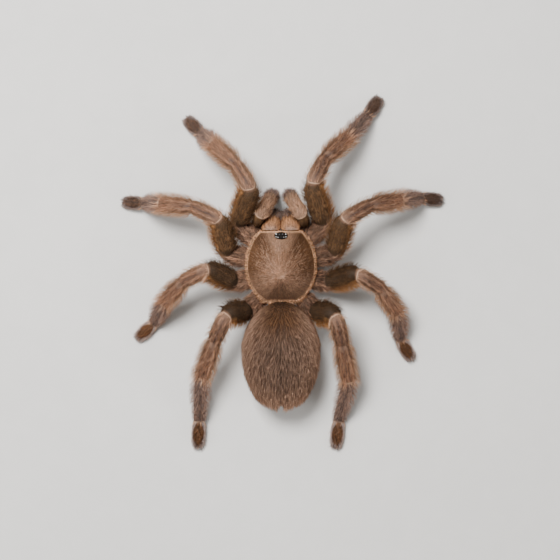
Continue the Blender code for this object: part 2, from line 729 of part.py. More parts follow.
def lie_on_abdomen(v, angle, ahead, step=0.01):
    """The skin that far back from (v, angle), or past the rear end, with the ways out and across."""
    here = abdomen_point(v, angle)
    back = abdomen_point(v + step, angle) - here
    around = abdomen_point(v, angle + step) - here
    moved = v + step * ahead / back.length
    last = math.pi * 0.955
    if moved > last:
        past = (moved - last) * back.length / step
        point, outwards, across = lie_on_abdomen(last, angle, 0.0)
        lean = (outwards.cross(across) * -1.0 + Vector((0, 1, 0)) * 2.0).normalized()
        return point + lean * past, outwards, across
    here = abdomen_point(moved, angle)
    back = abdomen_point(moved + step, angle) - here
    around = abdomen_point(moved, angle + step) - here
    outwards = around.cross(back).normalized()
    if outwards.dot(here - Vector((0, here.y - 0.01, ABDOMEN_AXIS))) < 0:
        outwards = -outwards
    return here, outwards, back.normalized().cross(outwards)


def dress(made, locks):
    if locks:
        boolean(made, "UNION", locks)


def build_coat(dressed):
    """Fuses the locks to the abdomen and the legs, each kept clear of all the other nodes."""
    meshes = [o for o in bpy.context.scene.objects if o.type == "MESH"]
    trees = {o.name: tree_of(o) for o in meshes}
    draw = random.Random(SEED)
    for made, limb, segment in dressed:
        others = [tree for name, tree in trees.items() if name != made.name]
        dress(made, limb_locks(limb, segment, draw, others))
        trees[made.name] = tree_of(made)
    abdomen = bpy.data.objects["abdomen"]
    others = [tree for name, tree in trees.items() if name != "abdomen"]
    dress(abdomen, abdomen_locks(draw, others))


def centre_on_origin():
    """Moves the spider so that the origin lies on the floor under the middle of its box."""
    made = [o for o in bpy.context.scene.objects if o.type == "MESH"]
    low, high = corners_of([v.co for o in made for v in o.data.vertices])
    shift = Vector((-(low.x + high.x) / 2, -(low.y + high.y) / 2, -low.z))
    for o in made:
        o.data.transform(Matrix.Translation(shift))


def main():
    for old in list(bpy.data.objects):
        bpy.data.objects.remove(old)
    build_carapace()
    build_mound()
    build_sternum()
    build_abdomen()
    build_spinnerets()
    build_jaws()
    dressed = []
    for side_name in SIDES:
        build_palp(side_name)
        for pair in LEG_LENGTHS:
            dressed += build_leg(pair, side_name)
    build_coat(dressed)
    centre_on_origin()


main()
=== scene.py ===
"""Looks of the asian fawn tarantula: skins, shell plates, eyes and coat over its fixed frame.

The file is laid out as an add-on: property groups hold the sizes and colours to change, and one
operator makes each group of pieces. Sizes without a unit are millimetres in the spider's own
axes: its midline is x = 0 with its left towards +x, the carapace's middle is near y = 0 with the
head towards -y, and the floor is z = 0.
"""

import math

import bpy
import numpy as np
from mathutils import Matrix, Vector


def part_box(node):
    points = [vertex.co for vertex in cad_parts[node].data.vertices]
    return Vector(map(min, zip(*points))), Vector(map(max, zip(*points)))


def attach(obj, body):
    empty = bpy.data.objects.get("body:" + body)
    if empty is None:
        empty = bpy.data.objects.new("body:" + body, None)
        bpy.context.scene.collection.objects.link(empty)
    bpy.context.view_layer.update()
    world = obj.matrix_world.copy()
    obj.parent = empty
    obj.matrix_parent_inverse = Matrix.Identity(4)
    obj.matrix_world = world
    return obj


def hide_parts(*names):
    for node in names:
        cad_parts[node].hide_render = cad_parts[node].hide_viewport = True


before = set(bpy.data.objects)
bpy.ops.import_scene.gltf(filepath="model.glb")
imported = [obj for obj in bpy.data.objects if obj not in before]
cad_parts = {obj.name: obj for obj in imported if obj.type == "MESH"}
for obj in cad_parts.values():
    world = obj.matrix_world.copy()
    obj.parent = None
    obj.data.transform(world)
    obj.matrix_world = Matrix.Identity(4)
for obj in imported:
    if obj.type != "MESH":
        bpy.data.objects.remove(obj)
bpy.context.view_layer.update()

bl_info = {
    "name": "Asian Fawn Tarantula",
    "version": (1, 0, 0),
    "blender": (4, 5, 0),
    "location": "3D View > Sidebar > Tarantula",
    "description": "Builds the skins, plates, eyes and coat of a life-size tarantula model",
    "category": "Object",
}

MM = 0.001
SIDES = {"left": 1.0, "right": -1.0}
SEED = 11

# Shell of the front body, as in the frame's solids, but with a shallower fovea and grooves
CARAPACE_HALF_WIDTH = 10.45
CARAPACE_AHEAD = 13.5
CARAPACE_BEHIND = 11.6
CARAPACE_FRONT = -10.6
CARAPACE_REAR = 10.4
CARAPACE_UNDERSIDE = 11.5
CARAPACE_RIM = 0.7
CARAPACE_RISE = 4.3
CLYPEUS_RISE = 2.4
HEAD_SWELL = 0.9
FOVEA_Y = 3.2
FOVEA_DEPTH = 0.4
GROOVE_TURNS = (33.0, 72.0, 108.0, 146.0)
GROOVE_DEPTH = 0.16
GROOVE_SPREAD = 9.0
HEAD_SPREAD = 36.0
HEAD_START = 0.4
MOUND_Y = -9.2
MOUND_HALF_WIDTH = 2.1
MOUND_HALF_LENGTH = 1.15
MOUND_HEIGHT = 0.95
STERNUM_HALF_WIDTH = 4.0
STERNUM_FRONT = -8.4
STERNUM_REAR = 8.6
STERNUM_BOTTOM = 4.6
STERNUM_DEPTH = 1.5

# Abdomen and spinnerets
ABDOMEN_FRONT = 10.9
ABDOMEN_REAR = 41.4
ABDOMEN_HALF_WIDTH = 10.6
ABDOMEN_AXIS = 11.4
ABDOMEN_ABOVE = 8.0
ABDOMEN_BELOW = 6.6
FRONT_FULLNESS = 1.1
REAR_FULLNESS = 0.62
PEDICEL_RADIUS = 1.3
PEDICEL_HEIGHT = 9.7
SPINNERET_ROOT = (1.5, 37.4, 8.2)
SPINNERET_TIP = (2.5, 43.6, 4.9)
SPINNERET_RADIUS = 0.95

# Jaws: (ahead of the carapace's front edge, height)
CHELICERA_HALF_WIDTH = 3.0
CHELICERA_HALF_DEPTH = 2.55
CHELICERA_PATH = ((0.0, 12.1), (3.6, 12.1), (3.3, 5.2))
CHELICERA_BEND = 2.75
CHELICERA_PROFILE = (
    (0.0, 0.97, 0.96), (0.35, 0.94, 1.0), (0.7, 0.85, 1.02), (1.0, 0.76, 1.04),
    (1.3, 0.71, 1.0), (1.6, 0.66, 0.95), (1.85, 0.58, 0.8), (2.0, 0.42, 0.5),
)
FANG_PATH = ((3.4, 4.9), (3.1, 3.2), (-0.5, 3.7))
FANG_BEND = 1.1
FANG_RADIUS = 0.75
FANG_PROFILE = ((0.0, 1.0), (0.5, 1.0), (1.0, 0.9), (1.3, 0.8), (1.6, 0.6), (1.85, 0.4), (2.0, 0.12))
JAW_GAP = 0.3

# Legs: segment lengths, girths, hips, roots and the pose, as in the frame's solids
LEG_LENGTHS = {
    1: (15.7, 9.3, 11.7, 11.2, 7.1),
    2: (14.0, 9.3, 11.6, 10.6, 7.0),
    3: (12.2, 8.8, 11.0, 10.3, 7.5),
    4: (13.4, 9.8, 14.2, 15.2, 8.9),
}
LEG_GIRTHS = {1: 1.0, 2: 0.97, 3: 0.95, 4: 1.0}
HIPS = {1: (13.2, -12.8), 2: (16.4, -3.7), 3: (14.1, 5.0), 4: (10.1, 13.9)}
COXA_ROOTS = {1: (3.8, -3.9), 2: (3.4, -1.2), 3: (3.4, 2.2), 4: (3.2, 5.5)}
COXA_HEIGHT = 8.2
FOOT_AXIS_HEIGHT = 0.8
# Height of the hip, then headings and slopes of the segments in degrees
POSES = {
    (1, "left"): (9.8, (-22.7, 31, 47, 46, 44), (46, -21, -26, -14)),
    (1, "right"): (8.6, (-17.7, 27, 46, 41, 34), (37, -22, -27, -15)),
    (2, "left"): (9.4, (11, 64, 84, 84, 87), (42, -15, -22, -16)),
    (2, "right"): (9.2, (14, 60, 80, 81, 96), (42, -13, -26, -17)),
    (3, "left"): (9.1, (62, 117, 137, 152, 132), (43, -16, -30, -6)),
    (3, "right"): (8.6, (73, 122, 144, 174, 149), (40, -18, -26, -11)),
    (4, "left"): (8.6, (93, 156, 160, 176, 177), (62, -26, -25, -11)),
    (4, "right"): (9.1, (95, 167, 169, 193, 186), (62, -27, -27, -4)),
}
LEG_BENDS = (3.0, 3.0, 4.0, 3.2, 2.6)
LEG_CHAIN = ("coxa", "femur", "patella", "tibia", "metatarsus", "tarsus")
# Half width, half height, and (part of the length, size)
SEGMENTS = {
    "coxa": (2.65, 2.3, ((0.0, 0.48), (0.15, 0.56), (0.3, 0.74), (0.6, 0.98), (0.79, 1.0), (0.88, 0.9))),
    "femur": (3.1, 3.0, ((0.0, 0.82), (0.1, 0.9), (0.25, 0.99), (0.55, 1.02), (0.83, 0.95), (0.92, 0.88))),
    "patella": (2.4, 2.35, ((0.0, 0.98), (0.16, 1.02), (0.34, 1.02), (0.85, 0.92))),
    "tibia": (2.25, 2.2, ((0.0, 0.86), (0.14, 0.98), (0.5, 1.02), (0.88, 0.95))),
    "metatarsus": (1.85, 1.8, ((0.0, 0.96), (0.12, 1.0), (0.5, 0.98), (0.88, 0.92))),
    "tarsus": (1.8, 1.38, ((0.0, 0.84), (0.14, 0.96), (0.45, 1.04), (0.75, 0.95), (0.92, 0.74), (1.0, 0.42))),
}
PALP_CHAIN = ("coxa", "femur", "patella", "tibia", "tarsus")
PALP_CORNERS = (
    (2.2, -8.3, 7.3), (7.3, -12.9, 7.8), (6.7, -14.9, 16.0),
    (3.2, -20.4, 14.9), (2.9, -21.4, 8.3), (2.6, -22.3, 1.2),
)
PALP_BENDS = (2.2, 2.3, 2.6, 3.0)
PALP_GIRTHS = {"coxa": 1.45, "femur": 1.65, "patella": 2.1, "tibia": 2.05, "tarsus": 1.65}
PALP_TARSUS_PROFILE = ((0.0, 0.9), (0.2, 1.0), (0.5, 1.0), (0.8, 0.88), (1.0, 0.5))

# Skins lie inside the solids by this share, with a pinch at each joint and thin raised lips:
# (place on top, how far round it reaches as part of a turn, how far along its sides sweep).
# A lip's half width is a part of its segment's length.
SKIN_SHARE = 0.95
JOINT_PINCH = 0.1
JOINT_SPREAD = 0.03
LIP_HEIGHT = 0.2
LIPS = {
    "leg": ((2.03, 0.17, 0.3), (3.95, 0.3, 0.05), (5.03, 0.2, 0.14)),
    "palp": ((2.05, 0.2, 0.2),),
}
LIP_WIDTH = 0.011
LIP_SQUARENESS = 4.5
FLOOR_ROOM = 0.03
# Places where hair stops: at the knee, and at the knee and the two joints beyond it
KNEE = (2.0,)
LEG_STOPS = (2.0, 3.93, 5.01)

# Unwraps: all limbs share one scale along, so that a sixth of v is one segment. The carapace's
# rim is a circle of this radius, and the bake's patch round a strand's root has this width.
V_SEGMENTS = 6.0
PLATE_RADIUS = 0.45
PATCH = 0.003

# Steps that keep scattered points apart, both ways
EVEN_STEPS = (0.7548776662, 0.5698402910)

# Markings: scales of the grain, how far a streak changes the tone, and its scales round and along
FINE_GRAIN = 2600.0
BROAD_GRAIN = 420.0
STREAK_GAIN = 2.6
LEG_STREAKS = (70.0, 0.8)
JAW_STREAKS = (48.0, 13.0)
STRIPE_SOFTNESS = 0.014
# Dark spot on a foot: its place, half its length and how far round it reaches
SPOT_PLACE = 5.45
SPOT_HALF_LENGTH = 0.42
SPOT_REACH = 0.165


class Spine:
    """Straight runs with rounded corners.

    A place on it is a corner's number plus a part of the run that follows.
    """

    def __init__(self, corners, bends):
        self.corners = [Vector(c) for c in corners]
        self.ways = [(b - a).normalized() for a, b in zip(self.corners, self.corners[1:])]
        self.bends = bends

    def reach(self, corner):
        """How far from the corner its bend starts."""
        return self.bends[corner - 1] * math.tan(self.ways[corner - 1].angle(self.ways[corner]) / 2)

    def at(self, place):
        """The point there and the way along."""
        last = len(self.ways) - 1
        k = min(int(place), last)
        run = (self.corners[k + 1] - self.corners[k]).length
        past = (place - k) * run
        if k > 0 and past < self.reach(k):
            return self.on_bend(k, past / self.reach(k))
        if k < last and run - past < self.reach(k + 1):
            return self.on_bend(k + 1, (past - run) / self.reach(k + 1))
        return self.corners[k] + self.ways[k] * past, self.ways[k]

    def on_bend(self, corner, part):
        """A point of the bend, from part -1 at its start to 1 at its end."""
        before, after = self.ways[corner - 1], self.ways[corner]
        axis = before.cross(after).normalized()
        inwards = axis.cross(before) * self.bends[corner - 1]
        turn = Matrix.Rotation(before.angle(after) * (part + 1) / 2, 3, axis)
        start = self.corners[corner] - before * self.reach(corner)
        return start + inwards - turn @ inwards, turn @ before


def unit(vectors):
    return vectors / np.maximum(np.linalg.norm(vectors, axis=-1, keepdims=True), 1e-9)


def column(values):
    return np.asarray(values)[..., None]


def around(count):
    """Evenly spaced angles of one turn."""
    return np.arange(count) * 2 * math.pi / count


def crossed(rows, columns):
    """Both values at each point of a grid."""
    return np.meshgrid(rows, columns, indexing="ij")


def clipped(values):
    return np.clip(values, 0.0, 1.0)


class Limb:
    """A limb's line and girth, sampled so that many places are read at once.

    Legs and palps have a shallow waist at each joint and the raised lips of their kind.
    """

    samples = 900
    unwrap_height = V_SEGMENTS

    def __init__(self, corners, bends, sizes, across=None, kind=None, mirror=False):
        spine = Spine(corners, bends)
        last = len(corners) - 1
        self.places = np.linspace(0.0, last, self.samples)
        found = [spine.at(place) for place in self.places]
        self.points = np.array([point for point, _ in found])
        self.along = unit(np.array([way for _, way in found]))
        level = np.cross((0.0, 0.0, 1.0), self.along) if across is None else np.array([across] * self.samples)
        self.across = unit(level - self.along * column((level * self.along).sum(1)))
        self.up = np.cross(self.along, self.across)
        steps = np.linalg.norm(np.diff(self.points, axis=0), axis=1)
        self.run = np.concatenate([[0.0], np.cumsum(steps)])
        waist = 1.0 - JOINT_PINCH * bump_at(self.places, range(1, last), JOINT_SPREAD) if kind else 1.0
        known, *girths = np.array(sizes).T
        self.wide, self.tall = (smoothed(np.interp(self.places, known, girth)) * waist for girth in girths)
        self.lips = LIPS.get(kind, ())
        self.mirror = mirror

    def read(self, values, place):
        if values.ndim == 1:
            return np.interp(place, self.places, values)
        return np.stack([np.interp(place, self.places, values[:, k]) for k in range(3)], axis=-1)

    def at(self, place, angle):
        """Points of the side, with the ways out, along and round there."""
        point, along = self.read(self.points, place), unit(self.read(self.along, place))
        across, up = self.read(self.across, place), self.read(self.up, place)
        wide, tall = column(self.read(self.wide, place)), column(self.read(self.tall, place))
        c, s = column(np.cos(angle)), column(np.sin(angle))
        out = unit(across * c / wide + up * s / tall)
        for lip in self.lips:
            off_line = lip_distance(place, angle, lip) / 2
            point = point + out * column(np.exp(-(off_line ** 2)) * LIP_HEIGHT)
        return point + across * wide * c + up * tall * s, out, along, np.cross(along, out)

    def unwrap(self, place, angle):
        """u is a quarter on top, and runs the same way round for both sides of the body."""
        u = angle / (2 * math.pi)
        if self.mirror:
            u = 0.5 - u
        return np.stack([np.mod(u, 1.0), place / self.unwrap_height], axis=-1)

    def off_lips(self, place, angle):
        """A chance of hair that leaves the lips bare."""
        near = [np.abs(lip_distance(place, angle, lip)) for lip in self.lips]
        return np.where(np.min(near, axis=0) < 2.0, 0.0, 1.0)

    def scatter(self, draw, count, first, last, chance):
        """Places and angles spread evenly over the side between two places, kept by chance(place, angle)."""
        weight = np.gradient(self.run, self.places) * (self.wide + self.tall)
        weight[(self.places < first) | (self.places > last)] = 0.0
        sums = np.cumsum(weight)
        share = chance(*self.spread_out(draw, count, sums)).mean()
        place, angle = self.spread_out(draw, int(count / max(share, 0.02)), sums)
        kept = draw.random(len(place)) < chance(place, angle)
        return place[kept], angle[kept]

    def spread_out(self, draw, count, sums):
        along, round_it = spread_evenly(draw, count)
        return np.interp(along * sums[-1], sums, self.places), round_it * 2 * math.pi


def smoothed(values, window=13):
    """A moving mean along the limb that keeps both ends."""
    padded = np.pad(values, window // 2, mode="edge")
    return np.convolve(padded, np.ones(window) / window, mode="valid")


def spread_evenly(draw, count):
    """Pairs of parts from 0 to 1 that keep their distance from each other, from a start of their own."""
    steps = np.arange(count)
    starts = draw.random(), draw.random()
    return [np.mod(start + steps * step, 1.0) for start, step in zip(starts, EVEN_STEPS)]


def bump_at(places, centres, spread):
    return sum(np.exp(-(((places - c) / spread) ** 2)) for c in centres)


def lip_distance(place, angle, lip):
    """How far off the lip's line, in half widths of it. A lip is a U that is open towards the foot."""
    top, reach, sweep = lip
    away = np.abs(np.mod(angle / (2 * math.pi) + 0.25, 1.0) - 0.5)
    before = np.maximum((top + sweep - place) / sweep, 0.0)
    inside = (away / reach) ** LIP_SQUARENESS + before ** LIP_SQUARENESS
    return (inside ** (1 / LIP_SQUARENESS) - 1) * sweep / LIP_WIDTH


def heading_way(heading, slope, side):
    """The way of a segment with that heading and slope in degrees."""
    h, s = math.radians(heading), math.radians(slope)
    return Vector((side * math.sin(h) * math.cos(s), -math.cos(h) * math.cos(s), math.sin(s)))


def leg_corners(pair, side_name):
    """The leg's corners from its root to its toe. The metatarsus slopes so that the foot is on the floor."""
    hip, headings, (femur, patella, tibia, tarsus) = POSES[pair, side_name]
    lengths, side = LEG_LENGTHS[pair], SIDES[side_name]
    slopes = [femur, patella, tibia, 0.0, tarsus]
    drop = hip - FOOT_AXIS_HEIGHT
    drop += sum(length * math.sin(math.radians(slope)) for length, slope in zip(lengths, slopes))
    slopes[3] = -math.degrees(math.asin(drop / lengths[3]))
    corners = [
        Vector((side * COXA_ROOTS[pair][0], COXA_ROOTS[pair][1], COXA_HEIGHT)),
        Vector((side * HIPS[pair][0], HIPS[pair][1], hip)),
    ]
    for heading, slope, length in zip(headings, slopes, lengths):
        corners.append(corners[-1] + heading_way(heading, slope, side) * length)
    return corners


def leg_limb(pair, side_name):
    sizes = []
    for first, segment in enumerate(LEG_CHAIN):
        wide, tall, profile = SEGMENTS[segment]
        share = LEG_GIRTHS[pair] * SKIN_SHARE
        sizes += [(first + part, wide * size * share, tall * size * share) for part, size in profile]
    return Limb(leg_corners(pair, side_name), LEG_BENDS, sizes, None, "leg", side_name == "right")


def palp_limb(side_name):
    side = SIDES[side_name]
    sizes = []
    for first, segment in enumerate(PALP_CHAIN):
        profile = PALP_TARSUS_PROFILE if segment == "tarsus" else SEGMENTS[segment][2]
        half = PALP_GIRTHS[segment] * SKIN_SHARE
        sizes += [(first + part, half * size, half * size) for part, size in profile]
    corners = [(side * x, y, z) for x, y, z in PALP_CORNERS]
    return Limb(corners, PALP_BENDS, sizes, (0.9, side * 0.35, 0.0), "palp", side_name == "right")


def own_origin():
    """Where the spider's own axes stand in the frame, in metres."""
    low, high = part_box("carapace")
    return np.array([(low.x + high.x) / 2, high.y - CARAPACE_REAR * MM, low.z - CARAPACE_UNDERSIDE * MM])


ORIGIN = own_origin()


def placed(points):
    """Points in the spider's own millimetres as metres of the frame."""
    return np.asarray(points, float) * MM + ORIGIN


def add_piece(name, mesh, material, replaced=()):
    """Links a mesh as a piece that rides on the body, with its finish and the nodes it stands for."""
    piece = bpy.data.objects.new(name, mesh)
    bpy.context.scene.collection.objects.link(piece)
    mesh.materials.append(material)
    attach(piece, "root")
    if replaced:
        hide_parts(*replaced)


def turn_outwards(mesh):
    """Flips a closed mesh whose faces point in."""
    mesh.calc_loop_triangles()
    corners = np.zeros(len(mesh.vertices) * 3)
    mesh.vertices.foreach_get("co", corners)
    corners = corners.reshape(-1, 3)
    corners -= corners.mean(0)
    index = np.zeros(len(mesh.loop_triangles) * 3, np.int32)
    mesh.loop_triangles.foreach_get("vertices", index)
    a, b, c = (corners[index.reshape(-1, 3)[:, k]] for k in range(3))
    if (np.cross(a, b) * c).sum() < 0:
        mesh.flip_normals()


def add_skin(name, rings, vs, material, nodes=(), ends=(None, None), mirror=False):
    """A closed smooth piece through rings of points, with its own unwrap as the map Skin.

    vs has one value for each ring.
    """
    count, sides = rings.shape[:2]
    us = np.arange(sides + 1) / sides
    if mirror:
        us = 0.5 - us
    points = list(placed(rings.reshape(-1, 3)))
    faces, map_points = [], []
    for r in range(count - 1):
        for s in range(sides):
            t = (s + 1) % sides
            faces.append((r * sides + s, r * sides + t, (r + 1) * sides + t, (r + 1) * sides + s))
            map_points += [(us[s], vs[r]), (us[s + 1], vs[r]), (us[s + 1], vs[r + 1]), (us[s], vs[r + 1])]
    for ring, tip, way in ((0, ends[0], -1), (count - 1, ends[1], 1)):
        middle = len(points)
        points.append(placed(rings[ring].mean(0) if tip is None else tip))
        for s in range(sides):
            a, b = ring * sides + s, ring * sides + (s + 1) % sides
            faces.append((*(a, b)[::way], middle))
            map_points += [(u, vs[ring]) for u in (*(us[s], us[s + 1])[::way], (us[s] + us[s + 1]) / 2)]
    mesh = bpy.data.meshes.new(name)
    mesh.from_pydata(points, [], faces)
    layer = mesh.uv_layers.new(name="Skin")
    layer.data.foreach_set("uv", np.array(map_points, np.float32).ravel())
    turn_outwards(mesh)
    mesh.shade_smooth()
    add_piece(name, mesh, material, nodes)
    return mesh


def limb_skin(name, limb, places, material, nodes, sides=36):
    rings = limb.at(*crossed(places, around(sides)))[0]
    rings[..., 2] = np.maximum(rings[..., 2], 0.0)
    add_skin(name, rings, places / limb.unwrap_height, material, nodes, mirror=limb.mirror)


# Strands: (part of the length, part of the width) of each ring, before the tip
SPIKE = ((0.0, 1.0),)
SHORT_STRAND = ((0.0, 1.0), (0.5, 0.8))
LONG_STRAND = ((0.0, 1.0), (0.36, 0.95), (0.7, 0.65))
STRAND_THINNESS = 0.6
STRAND_SINK = 0.15
# Of the pull on a strand's tip, the share that its middle follows
MIDDLE_PULL = 0.4
# Range of the tone that the strands of a tuft share, from 0 (dark) to 1 (light)
ANY, BRIGHT = (0.0, 1.0), (0.5, 1.0)
TONE_SPREAD = 0.07


def bent_strands(root, out, way, length, rise, settle, width, steps, pull=0.0, tuft=1):
    """Corner points of tapered three-sided strands, as (strands, corners, 3).

    A strand leaves the skin at the angle rise and ends at the angle settle to it. Its tip is
    pulled towards that of the first strand of its tuft.
    """
    rise, settle, length = column(rise), column(settle), column(length)
    start = root - out * STRAND_SINK
    middle = root + (way * np.cos(rise) + out * np.sin(rise)) * length / 2
    end = middle + (way * np.cos(settle) + out * np.sin(settle)) * length / 2
    leader = np.arange(len(root)) // tuft * tuft
    end = end + (end[leader] - end) * pull
    middle = middle + (middle[leader] - middle) * pull * MIDDLE_PULL
    turns = np.array([0.5, 7 / 6, 11 / 6]) * math.pi
    corners = []
    for part, breadth in steps:
        centre = start * (1 - part) ** 2 + middle * 2 * part * (1 - part) + end * part ** 2
        ahead = unit((middle - start) * (1 - part) + (end - middle) * part)
        level = unit(np.cross(out, ahead))
        raised = np.cross(ahead, level) * STRAND_THINNESS
        half = column(width) * breadth / 2
        for turn in turns:
            corners.append(centre + (level * math.cos(turn) + raised * math.sin(turn)) * half)
    corners.append(end)
    points = np.stack(corners, axis=1)
    points[..., 2] = np.maximum(points[..., 2], FLOOR_ROOM)
    return points


def strand_faces(rings):
    faces = [(2, 1, 0)]
    for r in range(rings - 1):
        for i in range(3):
            j = (i + 1) % 3
            a, b, c, d = 3 * r + i, 3 * r + j, 3 * r + 3 + j, 3 * r + 3 + i
            faces += [(a, b, c), (a, c, d)]
    top = 3 * (rings - 1)
    faces += [(top + i, top + (i + 1) % 3, 3 * rings) for i in range(3)]
    return np.array(faces)


class Coat:
    """Gathers strands of one coat piece and makes its mesh."""

    def __init__(self, name):
        self.name = name
        self.points, self.faces, self.maps, self.held = [], [], [], 0

    def add(self, points, steps, roots, tones):
        """Strands with the place of each root on the skin's unwrap and its tone from 0 to 1."""
        count, corners = points.shape[:2]
        faces = strand_faces(len(steps))
        index = (np.arange(count)[:, None, None] * corners + faces[None]).reshape(-1)
        parts = np.array([part for part, _ in steps for _ in range(3)] + [1.0])
        breadths = np.array([0.5, 0.0, 1.0] * len(steps) + [0.5])
        local = np.stack([breadths, parts], axis=-1)[faces.reshape(-1)]
        flat = np.repeat(roots[:, None, :], len(local), axis=1)
        patch = flat + (local[None] - 0.5) * PATCH
        own = np.stack([np.repeat(tones[:, None], len(local), axis=1),
                        np.repeat(local[None, :, 1], count, axis=0)], axis=-1)
        self.points.append(points.reshape(-1, 3))
        self.faces.append(index + self.held)
        self.maps.append([patch.reshape(-1, 2), flat.reshape(-1, 2), own.reshape(-1, 2)])
        self.held += count * corners

    def make(self, material):
        points, index = placed(np.concatenate(self.points)), np.concatenate(self.faces)
        mesh = bpy.data.meshes.new(self.name)
        mesh.vertices.add(len(points))
        mesh.vertices.foreach_set("co", points.astype(np.float32).ravel())
        mesh.loops.add(len(index))
        mesh.loops.foreach_set("vertex_index", index.astype(np.int32))
        mesh.polygons.add(len(index) // 3)
        mesh.polygons.foreach_set("loop_start", np.arange(0, len(index), 3, dtype=np.int32))
        for k, name in enumerate(("OFBake", "Skin", "Strand")):
            layer = mesh.uv_layers.new(name=name)
            values = np.concatenate([maps[k] for maps in self.maps])
            layer.data.foreach_set("uv", values.astype(np.float32).ravel())
        mesh.update(calc_edges=True)
        mesh.shade_smooth()
        add_piece(self.name, mesh, material)


def lean(way, round_it, degrees):
    """Ways turned within the skin."""
    a = column(np.radians(degrees))
    return unit(way * np.cos(a) + round_it * np.sin(a))


def tuft_tones(draw, tones, tufts, size):
    """One tone for each tuft, and a little of its own for each strand."""
    shared = np.repeat(draw.uniform(*tones, tufts), size)
    return np.clip(shared + draw.normal(0, TONE_SPREAD, len(shared)), 0.0, 1.0)


class Growth:
    """How one layer of strands grows: how many, in tufts of how many, how wide and how spread."""

    def __init__(self, count, steps, width, tones=ANY, tuft=4, pull=0.3, spread=(0.4, 0.14), stray=4.0):
        self.tufts, self.tuft = max(2, int(number(count) / tuft)), tuft
        self.steps, self.width, self.tones = steps, width, tones
        self.pull, self.spread, self.stray = pull, spread, stray


def everywhere(place, angle):
    return np.ones(place.shape)


def dress_limb(coat, limb, draw, growth, first, last, plan, chance=everywhere):
    """Tufts on a limb. plan(place, angle) gives each strand's length, rise, settle and turn in degrees."""
    place, angle = limb.scatter(draw, growth.tufts, first, last, chance)
    tufts = len(place)
    place, angle = np.repeat(place, growth.tuft), np.repeat(angle, growth.tuft)
    total = len(place)
    run = np.interp(place, limb.places, np.gradient(limb.run, limb.places))
    girth = limb.read(limb.wide, place)
    place = np.clip(place + draw.normal(0, growth.spread[0], total) / run, first, last)
    angle = angle + draw.normal(0, growth.spread[1], total) / girth
    root, out, along, round_it = limb.at(place, angle)
    length, rise, settle, turn = plan(place, angle)
    way = lean(along, round_it, turn + draw.normal(0, growth.stray, total))
    width = growth.width * draw.uniform(0.8, 1.15, total)
    length = length * draw.uniform(0.75, 1.2, total)
    rise = np.radians(rise * draw.uniform(0.8, 1.2, total))
    settle = np.radians(settle * draw.uniform(0.6, 1.3, total))
    points = bent_strands(root, out, way, length, rise, settle, width, growth.steps, growth.pull, growth.tuft)
    tones = tuft_tones(draw, growth.tones, tufts, growth.tuft)
    coat.add(points, growth.steps, limb.unwrap(place, angle), tones)


def by_segment(place, values):
    """The value of the segment that each place is on."""
    return np.array(values)[np.minimum(place.astype(int), len(values) - 1)]


def room_ahead(limb, place, joints, extra=0.25):
    """How long a strand may be so that it stops at the next of these joints."""
    run = np.interp(place, limb.places, limb.run)
    room = np.full(place.shape, 99.0)
    for joint in joints:
        there = np.interp(joint, limb.places, limb.run)
        before = place < joint
        room[before] = np.minimum(room[before], there - run[before] + extra)
    return np.maximum(room, 0.3)


def sum_of(operation):
    """A method that joins its wire to another value by one Math node."""
    def apply(self, other):
        return self.graph.math(operation, self, other)

    return apply


class Wire:
    """A value in a tree. Each sum or product of it adds a Math node."""

    __add__, __sub__, __mul__ = sum_of("ADD"), sum_of("SUBTRACT"), sum_of("MULTIPLY")
    __truediv__, __pow__ = sum_of("DIVIDE"), sum_of("POWER")

    def __init__(self, graph, socket):
        self.graph, self.socket = graph, socket

    def __rsub__(self, other):
        return self.graph.math("SUBTRACT", other, self)

    def __abs__(self):
        return self.graph.math("ABSOLUTE", self)


